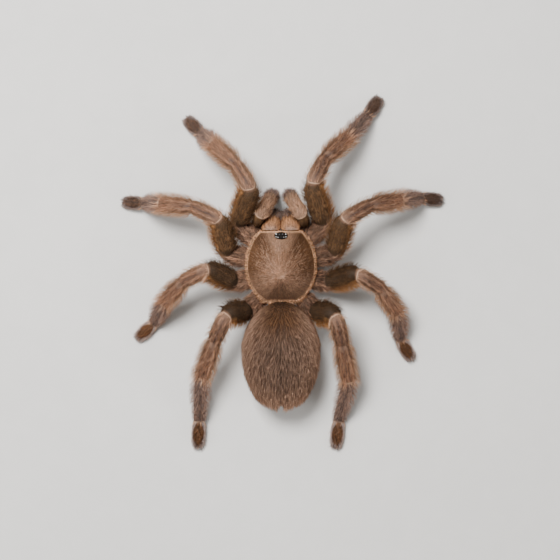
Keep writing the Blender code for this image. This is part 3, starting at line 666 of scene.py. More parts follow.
class Graph:
    """Adds nodes to one tree and wires them."""

    def __init__(self, tree):
        self.tree = tree

    def node(self, kind, values=None, **settings):
        node = self.tree.nodes.new(kind)
        for key, value in settings.items():
            setattr(node, key, value)
        for key, value in (values or {}).items():
            self.feed(node.inputs[key], value)
        return node

    def add(self, kind, values=None, output=0, **settings):
        return Wire(self, self.node(kind, values, **settings).outputs[output])

    def feed(self, socket, value):
        if isinstance(value, Wire):
            self.tree.links.new(value.socket, socket)
        else:
            socket.default_value = (*value, 1.0) if socket.type == "RGBA" else value

    def named(self, sockets):
        return {socket.name: Wire(self, socket) for socket in sockets}

    def math(self, operation, a, b=0.0, c=0.0):
        return self.add("ShaderNodeMath", {0: a, 1: b, 2: c}, operation=operation)

    def mix(self, factor, a, b, blend="MIX"):
        values = {0: factor, 6: a, 7: b}
        return self.add("ShaderNodeMix", values, 2, data_type="RGBA", blend_type=blend)

    def paint(self, colour, mask, tone, amount=1.0):
        """The colour with a tone over it, by that amount where the mask is 1."""
        return self.mix(mask * amount, colour, tone)

    def shaded(self, colour, level):
        return self.mix(1.0, colour, self.join(level, level, level), "MULTIPLY")

    def split(self, vector):
        return [Wire(self, part) for part in self.node("ShaderNodeSeparateXYZ", {0: vector}).outputs]

    def join(self, x, y, z=0.0):
        return self.add("ShaderNodeCombineXYZ", {0: x, 1: y, 2: z})

    def noise(self, vector, scale, detail=2.0, roughness=0.5):
        values = {"Vector": vector, "Scale": scale, "Detail": detail, "Roughness": roughness}
        return self.add("ShaderNodeTexNoise", values)

    def ramp(self, factor, stops):
        """Colours along a factor, as (place, colour)."""
        node = self.node("ShaderNodeValToRGB", {0: factor})
        elements = node.color_ramp.elements
        while len(elements) < len(stops):
            elements.new(0.5)
        for element, (place, colour) in zip(elements, stops):
            element.position = place
            element.color = (*colour, 1.0)
        return Wire(self, node.outputs[0])

    def step(self, value, start, end):
        """0 before start and 1 after end, which may be the lower one."""
        values = {0: value, 1: start, 2: end, 3: 0.0, 4: 1.0}
        return self.add("ShaderNodeMapRange", values, interpolation_type="SMOOTHSTEP")

    def band(self, value, centre, half, soft):
        """1 within half of the centre, falling to 0 over soft."""
        return self.step(abs(value - centre), half + soft, half)

    def use(self, tree, values):
        return self.named(self.node("ShaderNodeGroup", values, node_tree=tree).outputs)

    def unwrap(self, name):
        return self.add("ShaderNodeUVMap", uv_map=name)


def new_group(name, fill, inputs, outputs):
    """A node group with named sockets, as name: (kind, default). fill(graph, given) gives its outputs."""
    tree = bpy.data.node_groups.new(name, "ShaderNodeTree")
    for label, (kind, *default) in inputs.items():
        socket = tree.interface.new_socket(name=label, in_out="INPUT", socket_type="NodeSocket" + kind)
        if default:
            socket.default_value = default[0]
    for label, kind in outputs.items():
        tree.interface.new_socket(name=label, in_out="OUTPUT", socket_type="NodeSocket" + kind)
    graph = Graph(tree)
    found = fill(graph, graph.named(graph.node("NodeGroupInput").outputs))
    graph.node("NodeGroupOutput", found)
    return tree


def shared_group(name, *sockets):
    """The node group of that name, made at its first use."""
    return bpy.data.node_groups.get(name) or new_group(name, *sockets)


def markings(name, colours, *looks):
    """A group that gives a skin's colour by its unwrap. colours(graph, u, v, ...) paints it."""
    def fill(graph, given):
        u, v, _ = graph.split(given["Place"])
        return {"Color": colours(graph, u, v, *looks)}

    return new_group(name, fill, {"Place": ("Vector",)}, {"Color": "Color"})


def grain(graph, given):
    """Fine mottling for every skin and plate: a tone round 1 and a height for bump."""
    fine = graph.noise(given["Vector"], given["Scale"] * FINE_GRAIN, 3.0, 0.6)
    broad = graph.noise(given["Vector"], given["Scale"] * BROAD_GRAIN)
    return {"Tone": fine * 0.5 + broad * 0.5 + 0.5, "Height": fine}


def hair_tone(graph, given):
    """A strand's tone: its own brightness and warmth, darker at the root as painted shade between the
    strands, and lighter at the tip as the hair's own pale tip.
    """
    colour = given["Color"]
    own, part, _ = graph.split(given["Strand"])
    shade = part * (given["Tip"] - given["Root"]) + given["Root"]
    level = shade * ((own - 0.5) * given["Contrast"] + 1.0)
    tinted = graph.mix(1.0, colour, given["Warm"], "MULTIPLY")
    warmed = graph.mix(graph.step(own, 0.5, 1.0), colour, tinted)
    return {"Color": graph.shaded(warmed, level)}


def top_distance(graph, u):
    """How far round from the top, from 0 on top to 0.5 below, and the same with its sign."""
    turned = graph.math("WRAP", u - 0.25, 0.5, -0.5)
    return abs(turned), turned


def lip_mask(graph, along, away, lip):
    """1 on a lip's line. along is the place on the limb and away how far round from the top."""
    top, reach, sweep = lip
    before = graph.math("MAXIMUM", (top + sweep - along) / sweep, 0.0)
    inside = ((away / reach) ** LIP_SQUARENESS + before ** LIP_SQUARENESS) ** (1 / LIP_SQUARENESS)
    half = LIP_WIDTH / sweep
    return graph.band(inside, 1.0, half * 0.8, half) * graph.step(along, top + sweep, top + 0.7 * sweep)


def streaked(graph, colour, x, y, scales, amount, extra=0.0, where=0.0):
    """The colour with lengthwise streaks of light and dark, stronger by extra where the mask is 1."""
    uneven = graph.noise(graph.join(x * scales[0], y * scales[1]), 1.0, 2.0, 0.6) - 0.5
    level = uneven * (where * extra + amount) * STREAK_GAIN + 1.0
    return graph.shaded(colour, graph.math("MAXIMUM", level, 0.25))


def limb_colours(graph, u, v, looks, kind):
    """Ramps along a limb's top, both sides and below, stripes, a spot on the foot and lips."""
    along = v * V_SEGMENTS
    away, turned = top_distance(graph, u)
    top, rear, front = (graph.ramp(v, [(place / V_SEGMENTS, tone) for place, tone in looks[key]])
                        for key in ("top", "rear", "front"))
    flank = graph.mix(graph.step(turned, 0.02, -0.02), front, rear)
    colour = graph.mix(graph.step(away, 0.09, 0.19), top, flank)
    colour = graph.paint(colour, graph.step(away, 0.3, 0.42), looks["below"])
    for centre, half, tone, amount, first, last in looks["stripes"]:
        run = graph.step(along, first, first + 0.12) * graph.step(along, last, last - 0.2)
        colour = graph.paint(colour, graph.band(away, centre, half, STRIPE_SOFTNESS) * run, tone, amount)
    if "spot" in looks:
        far = (away / SPOT_REACH) ** 2.0 + ((along - SPOT_PLACE) / SPOT_HALF_LENGTH) ** 2.0
        colour = graph.paint(colour, graph.step(far, 1.15, 0.8), *looks["spot"])
    # On the hips the streaks are much stronger: their light streaks are the pale hair, their dark streaks
    # painted shade in the gaps between the hips.
    hips = graph.step(along, 1.1, 0.95)
    colour = streaked(graph, colour, away, along, LEG_STREAKS, 0.55, 2.2, hips)
    for lip in LIPS[kind]:
        colour = graph.paint(colour, lip_mask(graph, along, away, lip), looks["lip"])
    return colour


def abdomen_colours(graph, u, v, looks):
    """Dark in front, darkest at the very edge as painted shadow of the carapace, grey down the middle, tawny
    at the sides, and lighter at the rear, partly as painted light.
    """
    away, _ = top_distance(graph, u)
    middle, margin = graph.ramp(v, looks["middle"]), graph.ramp(v, looks["margin"])
    colour = graph.mix(graph.step(away, 0.03, 0.2), middle, margin)
    parting = graph.step(away, 0.016, 0.0) * graph.step(v, 0.25, 0.5)
    colour = graph.paint(colour, parting, looks["parting"], 0.45)
    return graph.paint(colour, graph.step(away, 0.36, 0.46), looks["below"])


def carapace_colours(graph, u, v, looks):
    """Streaks that run out from the fovea, pale hair on the rear slope that is partly painted light where
    that slope turns from the key light, and a pale rim.
    """
    x, y = u - 0.5, v - 0.5
    far = graph.math("MAXIMUM", graph.math("SQRT", x * x + y * y), 0.001)
    ahead, part = y / far, far / PLATE_RADIUS
    fine = graph.noise(graph.join(x / far, ahead, far * 1.6 + 4.7), 21.0, 3.0, 0.65)
    colour = graph.ramp(part, looks["outwards"])
    wedge = graph.band(ahead, -0.76, 0.1, 0.12) * graph.band(part, 0.72, 0.12, 0.25)
    ring = graph.step(part, 0.98, 0.6) * graph.step(part, 0.08, 0.35)
    hollow = graph.step(fine, 0.5, 0.36) * ring
    streak = graph.step(fine, 0.5, 0.62) * graph.step(part, 1.05, 0.6)
    head = graph.step(ahead, -0.78, -0.99) * graph.step(part, 0.35, 0.7)
    # behind lightens the rear slope: partly its pale hair, partly painted light where that slope turns from
    # the key light.
    behind = graph.step(ahead, 0.0, 0.7) * graph.step(part, 0.05, 0.6)
    for mask, tone, amount in ((wedge, "dull", 0.8), (hollow, "dull", 0.7), (streak, "streak", 0.85),
                               (head, "streak", 0.6), (behind, "streak", 0.5)):
        colour = graph.paint(colour, mask, looks[tone], amount)
    return graph.paint(colour, graph.step(part, 0.945, 0.99), looks["rim"])


def jaw_colours(graph, u, v, looks):
    """Orange tan on top, greyer at the base and darker in front, with painted shade on both flanks and below,
    where the palps cover them and the jaws meet.
    """
    away, _ = top_distance(graph, u)
    grey = graph.step(v, 0.2, 0.02) * graph.step(away, 0.16, 0.06)
    colour = graph.paint(graph.ramp(v, looks["down"]), grey, looks["base"], 0.7)
    colour = streaked(graph, colour, u, v, JAW_STREAKS, 1.2)
    # Painted shade on both flanks and below.
    return graph.paint(colour, graph.step(away, 0.2, 0.26), looks["below"])


def down_colours(graph, u, v, stops):
    return graph.ramp(v, stops)


def principled(name, numbers):
    """A material with its graph and its shader, whose own sockets hold the numbers."""
    material = bpy.data.materials.new(name)
    material.use_nodes = True
    shader = material.node_tree.nodes["Principled BSDF"]
    for key, value in numbers.items():
        shader.inputs[key].default_value = value
    return material, Graph(material.node_tree), shader


def bumpy(graph, shader, scale, strength):
    """Gives a shader the grain's bump, and returns the grain's tone."""
    group = shared_group("skin grain", grain, {"Vector": ("Vector",), "Scale": ("Float", 1.0)},
                         {"Tone": "Float", "Height": "Float"})
    place = graph.named(graph.node("ShaderNodeTexCoord").outputs)["Object"]
    found = graph.use(group, {"Vector": place, "Scale": scale})
    values = {"Strength": strength, "Distance": 0.0002, "Height": found["Height"]}
    graph.feed(shader.inputs["Normal"], graph.add("ShaderNodeBump", values))
    return found["Tone"]


def skin_material(name, pattern, shade, roughness=0.7, bump=0.35):
    """Skin under a coat: the coat's own markings, darker by shade, partly as the skin's own darker tone and
    partly as painted shade in the gaps between the strands, and mottled, with a fine grain.
    """
    material, graph, shader = principled(name, {"Roughness": roughness, "Specular IOR Level": 0.2})
    level = bumpy(graph, shader, 1.0, bump) * shade
    colour = graph.use(pattern, {"Place": graph.unwrap("Skin")})["Color"]
    graph.feed(shader.inputs["Base Color"], graph.shaded(colour, level))
    return material


# root darkens each strand's base as painted shade between the strands; tip lightens it towards the hair's own
# pale tip
def coat_material(name, pattern, warm=(1.25, 1.0, 0.82), contrast=1.0, root=0.45, tip=1.35):
    """Hair with the skin's markings at its root and a tone of its own. Bright hair has the warm tint."""
    group = shared_group("hair tone", hair_tone, {
        "Color": ("Color",), "Strand": ("Vector",), "Contrast": ("Float", 0.6), "Root": ("Float", 0.45),
        "Tip": ("Float", 1.3), "Warm": ("Color",)}, {"Color": "Color"})
    material, graph, shader = principled(name, {"Roughness": 0.6, "Specular IOR Level": 0.15})
    colour = graph.use(pattern, {"Place": graph.unwrap("Skin")})["Color"]
    toned = graph.use(group, {"Color": colour, "Strand": graph.unwrap("Strand"), "Warm": warm,
                              "Contrast": contrast, "Root": root, "Tip": tip})["Color"]
    graph.feed(shader.inputs["Base Color"], toned)
    return material


def skin_and_coat(name, colours, looks, shade, *hair):
    """The materials of a skin and of the coat over it, with the same markings."""
    pattern = markings(f"{name} markings", colours, *looks)
    return skin_material(f"{name} skin", pattern, shade), coat_material(f"{name} coat", pattern, *hair)


def plain_material(name, dark, light, numbers, scale=1.0, bump=0.3):
    """A material of two close tones mixed by the grain."""
    material, graph, shader = principled(name, numbers)
    tone = bumpy(graph, shader, scale, bump)
    graph.feed(shader.inputs["Base Color"], graph.mix(graph.step(tone, 0.85, 1.15), dark, light))
    return material


def colour_property(label, about, default):
    return bpy.props.FloatVectorProperty(
        name=label, description=about, default=default, size=3, min=0.0, max=1.0, subtype="COLOR")


def share_property(label, about):
    return number_property(label, about, 1.0, min=0.0, max=2.0, subtype="FACTOR")


def length_property(label, about, default):
    return number_property(label, about, default, precision=5, subtype="DISTANCE", unit="LENGTH")


def power_property(label, about, default):
    return number_property(label, about, default, min=0.0, unit="POWER")


def number_property(label, about, default, **limits):
    return bpy.props.FloatProperty(name=label, description=about, default=default, **limits)


# What each colour is for, and its usual value
COLOURS = {
    "carapace": ("Fawn of the shell's outer half", (0.11, 0.048, 0.019)),
    "carapace_middle": ("Greyer fawn round the fovea", (0.235, 0.122, 0.07)),
    "carapace_streak": ("Pale hair round the fovea", (0.385, 0.222, 0.14)),
    "carapace_rim": ("Pale fringe along the edge", (0.78, 0.44, 0.25)),
    "jaw": ("Orange tan of the jaws' tops", (0.45, 0.22, 0.107)),
    "coxa": ("Pinkish grey of the hips", (0.2, 0.117, 0.078)),
    "femur": ("Dark olive brown of the femora", (0.088, 0.047, 0.022)),
    "femur_fringe": ("Tawny hair behind the femora", (0.27, 0.135, 0.055)),
    "shin": ("Grey brown of the legs' middle", (0.31, 0.168, 0.107)),
    "shin_fringe": ("Tawny hair at the sides", (0.38, 0.23, 0.145)),
    "stripe": ("Two pale stripes along patella and tibia", (0.44, 0.255, 0.165)),
    "dark_stripe": ("Purplish band between the pale stripes", (0.11, 0.07, 0.06)),
    "metatarsus": ("Greyish brown of the lower leg", (0.27, 0.177, 0.142)),
    "foot": ("Pale grey fringe round the feet", (0.40, 0.31, 0.28)),
    "foot_spot": ("Dark brown patch on each foot", (0.165, 0.077, 0.037)),
    "lip": ("Cream line where patella and tibia end", (0.76, 0.47, 0.3)),
    "palp": ("Pale tan of the palps", (0.31, 0.18, 0.113)),
    "abdomen": ("Purplish grey brown down the middle", (0.163, 0.098, 0.067)),
    "abdomen_margin": ("Fawn hair at the sides", (0.24, 0.141, 0.093)),
    "abdomen_front": ("Dark brown behind the carapace", (0.08, 0.038, 0.018)),
    "underside": ("Dark brown below", (0.10, 0.065, 0.048)),
}


class TARANTULA_PG_colours(bpy.types.PropertyGroup):
    """Colours of the coat, region by region."""

    __annotations__ = {key: colour_property(key.replace("_", " ").capitalize(), *given)
                       for key, given in COLOURS.items()}


class TARANTULA_PG_coat(bpy.types.PropertyGroup):
    """Amount and thickness of the coat."""

    density: share_property("Density", "Number of strands, as a share of the usual")
    strand_width: length_property("Strand width", "Width of a strand of the short coat", 0.00015)
    seta_width: length_property("Seta width", "Width of a long hair", 0.00012)
    length: share_property("Length", "Length of the coat, as a share of the usual")


class TARANTULA_PG_stage(bpy.types.PropertyGroup):
    """Camera, floor and light."""

    camera_height: length_property("Camera height", "Camera above the floor", 0.615)
    field: length_property("Field", "Width of the picture at the back's height", 0.1697)
    aim_x: length_property("Aim across", "Camera's axis from the midline", 0.0003)
    aim_y: length_property("Aim along", "Camera's axis behind the carapace's middle", 0.00424)
    key_power: power_property("Key power", "Power of the large soft light", 5.9)
    fill_power: power_property("Fill power", "Power of each side light", 1.3)
    floor: colour_property("Floor", "Pale floor", (0.72, 0.70, 0.67))


def rgb(name, factor=1.0):
    """A named colour, brightened or dulled by a factor."""
    return tuple(min(1.0, c * factor) for c in getattr(bpy.context.scene.tarantula_colours, name))


def leg_looks(fore):
    """Markings of the legs. The fore legs' feet are darker, with a fainter spot on top, and their femora a
    little brighter; the hind legs' femora are darker as painted shade.
    """
    # The first value sets the femora's level: a little brighter on the fore legs, darker on the hind legs as
    # painted shade.
    thigh_tone_and_shade, shade, foot, toe, toe_side = (1.1, 0.9, 0.75, 0.3, 0.55) if fore else (0.65, 1.0, 1.0, 1.0, 1.0)
    hips = [(0.0, rgb("coxa")), (1.0, rgb("coxa", 1.15))]
    femur, shin, lower = rgb("femur", thigh_tone_and_shade), rgb("shin", shade), rgb("metatarsus", shade)

    def flank(thigh_root, knee, side):
        return [*hips, (1.12, thigh_root), (1.97, knee), (2.0, side), (3.93, side),
                (4.05, lower), (4.9, lower), (5.1, rgb("foot", toe_side))]

    return {
        "top": [*hips, (1.12, femur), (1.97, femur), (2.0, shin), (3.0, shin),
                (3.93, rgb("shin", 1.15 * shade)), (4.0, lower), (4.9, lower),
                (5.05, rgb("foot", toe)), (6.0, rgb("foot", foot))],
        "rear": flank(rgb("femur_fringe"), rgb("femur_fringe"), rgb("shin_fringe", shade)),
        "front": flank(rgb("femur", 0.9 * thigh_tone_and_shade), rgb("femur", 1.1 * thigh_tone_and_shade), rgb("shin_fringe", 0.9 * shade)),
        "below": rgb("underside"), "lip": rgb("lip"),
        "stripes": [
            (0.0, 0.018, rgb("dark_stripe"), 0.7 if fore else 0.45, 2.1, 3.3),
            (0.075, 0.012, rgb("stripe", shade), 0.7, 2.1, 3.7),
            (0.135, 0.012, rgb("shin", 0.5), 0.6, 2.1, 3.6),
            (0.075, 0.01, rgb("femur", 2.0 * thigh_tone_and_shade), 0.5, 1.2, 1.95),
            (0.0, 0.016, rgb("metatarsus", 0.5), 0.4, 4.05, 4.95),
            (0.09, 0.014, rgb("metatarsus", 1.4), 0.5, 4.1, 5.0),
        ],
        "spot": (rgb("foot_spot", 0.5), 0.8) if fore else (rgb("foot_spot", 0.95), 1.0),
    }


def palp_looks():
    coxa, femur, palp = rgb("coxa"), rgb("femur", 1.9), rgb("palp")
    run = [(0.0, coxa), (0.98, coxa), (1.08, femur), (1.97, femur), (2.02, palp), (3.0, palp),
           (3.1, rgb("palp", 0.7)), (3.25, rgb("dark_stripe", 1.3)), (5.0, rgb("dark_stripe"))]
    return {"top": run, "rear": run, "front": run, "below": rgb("palp", 0.5), "lip": rgb("lip", 0.9),
            "stripes": [(0.05, 0.02, rgb("stripe"), 0.4, 2.1, 3.0)]}


def width_mm(name):
    return getattr(bpy.context.scene.tarantula_coat, name) / MM


def number(count):
    return max(6, int(count * bpy.context.scene.tarantula_coat.density))


def coat_length():
    return bpy.context.scene.tarantula_coat.length


def carapace_edge(turn):
    """The carapace's edge in plan, at turns from straight ahead."""
    x = CARAPACE_HALF_WIDTH * np.sin(turn)
    y = -np.cos(turn) * np.where(np.cos(turn) > 0, CARAPACE_AHEAD, CARAPACE_BEHIND)
    return x, np.clip(y, CARAPACE_FRONT, CARAPACE_REAR)


def carapace_height(part, turn):
    """The carapace's height at parts of the way from the fovea to the edge."""
    from_ahead = np.abs(np.degrees(np.arctan2(np.sin(turn), np.cos(turn))))
    ahead = np.exp(-((from_ahead / HEAD_SPREAD) ** 2)) * (1.0 - np.exp(-((part / HEAD_START) ** 2)))
    grooved = np.max([np.exp(-(((from_ahead - g) / GROOVE_SPREAD) ** 2)) for g in GROOVE_TURNS], axis=0)
    edge = CARAPACE_UNDERSIDE + CARAPACE_RIM + CLYPEUS_RISE * ahead
    dome = (CARAPACE_RISE - (CLYPEUS_RISE - HEAD_SWELL) * ahead) * (1.0 - part ** 2.3)
    head = HEAD_SWELL * ahead * np.sin(math.pi * part)
    pit = FOVEA_DEPTH * np.exp(-((part * np.sqrt(1.0 + 2.2 * np.cos(turn) ** 2) / 0.1) ** 2))
    groove = GROOVE_DEPTH * grooved * np.sin(math.pi * part) * part
    return edge + dome + head - pit - groove


def carapace_points(part, turn):
    x, y = carapace_edge(turn)
    return np.stack([x * part, FOVEA_Y + (y - FOVEA_Y) * part, carapace_height(part, turn)], axis=-1)


def carapace_unwrap(part, turn):
    """The shell's plan, shrunk so that its rim is a circle round the fovea."""
    reach = PLATE_RADIUS * part
    return np.stack([0.5 + reach * np.sin(turn), 0.5 - reach * np.cos(turn)], axis=-1)


def carapace_ways(part, turn, step=0.01):
    """Points of the shell with the ways out of it, away from the fovea and round."""
    here = carapace_points(part, turn)
    away = unit(carapace_points(part + step, turn) - here)
    round_it = unit(carapace_points(part, turn + step) - here)
    out = unit(np.cross(round_it, away))
    out = np.where(column(out[..., 2] < 0), -out, out)
    return here, out, away, round_it


class TARANTULA_OT_carapace(bpy.types.Operator):
    """Make the carapace plate with its flat coat and its pale fringe."""

    bl_idname = "tarantula.carapace"
    bl_label = "Carapace"

    # Parts of the way to the edge, then (part, how far down) of the rim's fold. The plate lies
    # this far below the shell's own height, and a strand has this width.
    plate_parts = (*np.linspace(0.02, 0.9, 46), 0.93, 0.95, 0.965, 0.978, 0.988, 0.995)
    folds = ((0.998, 0.3), (0.995, 0.62), (0.985, 0.85), (0.965, 1.0), (0.7, 0.95))
    sink = 0.1
    hair = 0.13

    def execute(self, context):
        pattern = markings("carapace markings", carapace_colours, {
            "outwards": [(0.0, rgb("carapace_middle", 1.05)), (0.35, rgb("carapace_middle", 0.9)),
                         (0.7, rgb("carapace")), (1.0, rgb("carapace"))],
            "streak": rgb("carapace_streak"), "dull": rgb("carapace", 0.7), "rim": rgb("carapace_rim"),
        })
        self.build_plate(skin_material("carapace plate", pattern, 0.8, 0.55, 0.4))
        draw = np.random.default_rng(SEED)
        coat = Coat("carapace_coat")
        self.lay_tufts(coat, draw)
        self.lay_fringe(coat, draw)
        coat.make(coat_material("carapace coat", pattern, (1.1, 1.0, 0.92), 1.7, 0.5, 1.4))
        return {"FINISHED"}

    def build_plate(self, material):
        turns = around(220)
        rings = list(carapace_points(*crossed(self.plate_parts, turns)) - (0, 0, self.sink))
        edge = rings[-1]
        for inset, drop in self.folds:
            ring = edge * (inset, inset, 1.0) + (0.0, FOVEA_Y * (1.0 - inset), 0.0)
            ring[:, 2] += (CARAPACE_UNDERSIDE + 0.05 - edge[:, 2]) * drop
            rings.append(ring)
        no_map = [0.0] * len(rings)
        mesh = add_skin("carapace_plate", np.array(rings), no_map, material, ["carapace"])
        parts = [*self.plate_parts, *(self.plate_parts[-1] * inset for inset, _ in self.folds)]
        flat = carapace_unwrap(*crossed(parts, turns)).reshape(-1, 2)
        flat = np.concatenate([flat, [(0.5, 0.5), (0.5, 0.5)]])
        index = np.zeros(len(mesh.loops), np.int32)
        mesh.loops.foreach_get("vertex_index", index)
        mesh.uv_layers["Skin"].data.foreach_set("uv", flat[index].astype(np.float32).ravel())

    def lay_tufts(self, coat, draw):
        """Short flat tufts that run out from the fovea and leave the eye mound bare."""
        tufts, size = number(5600), 4
        part, turn = spread_evenly(draw, tufts)
        part, turn = np.sqrt(part * 0.97), turn * 2 * math.pi
        x, y, _ = carapace_points(part, turn).T
        behind = (y - MOUND_Y - 0.25) / (MOUND_HALF_LENGTH + 0.15)
        off_mound = np.hypot(x / (MOUND_HALF_WIDTH + 0.1), behind) > 1.0
        part, turn = part[off_mound], turn[off_mound]
        tones = tuft_tones(draw, ANY, len(part), size)
        part, turn = np.repeat(part, size), np.repeat(turn, size)
        total = len(part)
        part = np.clip(part + draw.normal(0, 0.035, total), 0.01, 0.985)
        turn = turn + draw.normal(0, 0.07, total) / (10.0 * part + 1.0)
        root, out, away, round_it = carapace_ways(part, turn)
        root = root - out * self.sink
        way = lean(away, round_it, draw.normal(0, 4.0, total))
        length = draw.uniform(0.8, 1.3, total) * coat_length()
        points = bent_strands(root, out, way, length, np.radians(draw.uniform(6, 15, total)),
                              np.radians(draw.uniform(-4, 4, total)), self.hair, SPIKE)
        coat.add(points, SPIKE, carapace_unwrap(part, turn), tones)

    def lay_fringe(self, coat, draw):
        count = number(3200)
        turn = draw.uniform(0, 2 * math.pi, count)
        part = 1.0 - np.abs(draw.normal(0.0, 0.03, count)) - 0.005
        root, out, away, round_it = carapace_ways(part, turn)
        root[:, 2] -= draw.uniform(0.0, 0.5, count)
        way = lean(away, round_it, draw.normal(0, 26.0, count))
        ahead, behind = clipped((-root[:, 1] - 8.0) / 2.0), clipped((root[:, 1] - 8.0) / 2.0)
        length = draw.uniform(0.6, 1.7, count) * (1.0 - 0.75 * ahead + 1.1 * behind) * coat_length()
        points = bent_strands(root, out, way, length, np.radians(draw.uniform(5, 30, count)),
                              np.radians(draw.uniform(-20, 10, count)), self.hair, SHORT_STRAND)
        coat.add(points, SHORT_STRAND, carapace_unwrap(part, turn), draw.uniform(*ANY, count))


def height_under_mound(x, y):
    """The carapace's height near the middle of its front edge."""
    part = (y - FOVEA_Y) / (CARAPACE_FRONT - FOVEA_Y)
    edge_x = x / part
    return carapace_height(part, np.arctan2(edge_x, np.sqrt(CARAPACE_HALF_WIDTH ** 2 - edge_x ** 2)))


class TARANTULA_OT_eyes(bpy.types.Operator):
    """Make the eye mound and the eight eyes, each at its node's place."""

    bl_idname = "tarantula.eyes"
    bl_label = "Eyes"

    def execute(self, context):
        mound = plain_material("eye mound", (0.004, 0.003, 0.002), (0.014, 0.008, 0.005),
                               {"Roughness": 0.8, "Specular IOR Level": 0.2})
        self.build_mound(mound)
        # Each cap is a painted highlight: faint on the dark anterior medians, pale on the other eyes, whose
        # pearly tone is also their own.
        dark = self.eye_material("dark eye", (0.04, 0.04, 0.045))
        pearly = self.eye_material("pearly eye", (0.75, 0.72, 0.68))
        for node in sorted(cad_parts):
            if node.startswith("eye_") and node != "eye_mound":
                self.build_eye(node, dark if "anterior_median" in node else pearly)
        return {"FINISHED"}

    def eye_material(self, name, cap):
        """A wet lens: near black, with a small cap at the top in the given tone as a painted highlight, which
        on the pale eyes is also their own pearly colour.
        """
        material, graph, shader = principled(name, {
            "Roughness": 0.06, "Specular IOR Level": 0.3, "Coat Weight": 0.6, "Coat Roughness": 0.03})
        edge = (0.006, 0.005, 0.005)
        height = graph.split(graph.unwrap("Skin"))[1]
        tone = graph.ramp(height, [(0.0, cap), (0.07, cap), (0.12, edge), (1.0, edge)])
        graph.feed(shader.inputs["Base Color"], tone)
        bumpy(graph, shader, 0.6, 0.02)
        return material

    def build_mound(self, material):
        turns = around(64)
        rings, rises = [], np.linspace(0.0, 0.97, 20)
        for rise in rises:
            part = math.sqrt(1.0 - rise ** 2.2)
            x = MOUND_HALF_WIDTH * 0.99 * part * np.sin(turns)
            y = MOUND_Y - MOUND_HALF_LENGTH * 0.99 * part * np.cos(turns)
            z = height_under_mound(x, y) - 0.12 + (MOUND_HEIGHT + 0.1) * rise
            rings.append(np.stack([x, y, z], axis=-1))
        vs = np.linspace(0, 1, len(rings))
        add_skin("eye_mound_shell", np.array(rings), vs, material, ["eye_mound"])

    def build_eye(self, node, material):
        low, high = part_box(node)
        centre = (np.array((low + high) / 2) - ORIGIN) / MM
        radius = (high.x - low.x) / 2 / MM
        down, turn = crossed(np.linspace(0.08, math.pi - 0.08, 22), around(40))
        ball = np.stack([np.sin(down) * np.cos(turn), np.sin(down) * np.sin(turn), np.cos(down)], axis=-1)
        ends = centre + (0, 0, radius), centre - (0, 0, radius)
        vs = np.linspace(0, 1, len(ball))
        add_skin(node + "_ball", centre + radius * ball, vs, material, [node], ends)


def jaw_limb(path, bend, middle, sizes):
    front = CARAPACE_FRONT - JAW_GAP
    corners = [Vector((middle, front - ahead, height)) for ahead, height in path]
    return Limb(corners, (bend,), sizes, (1.0, 0.0, 0.0))


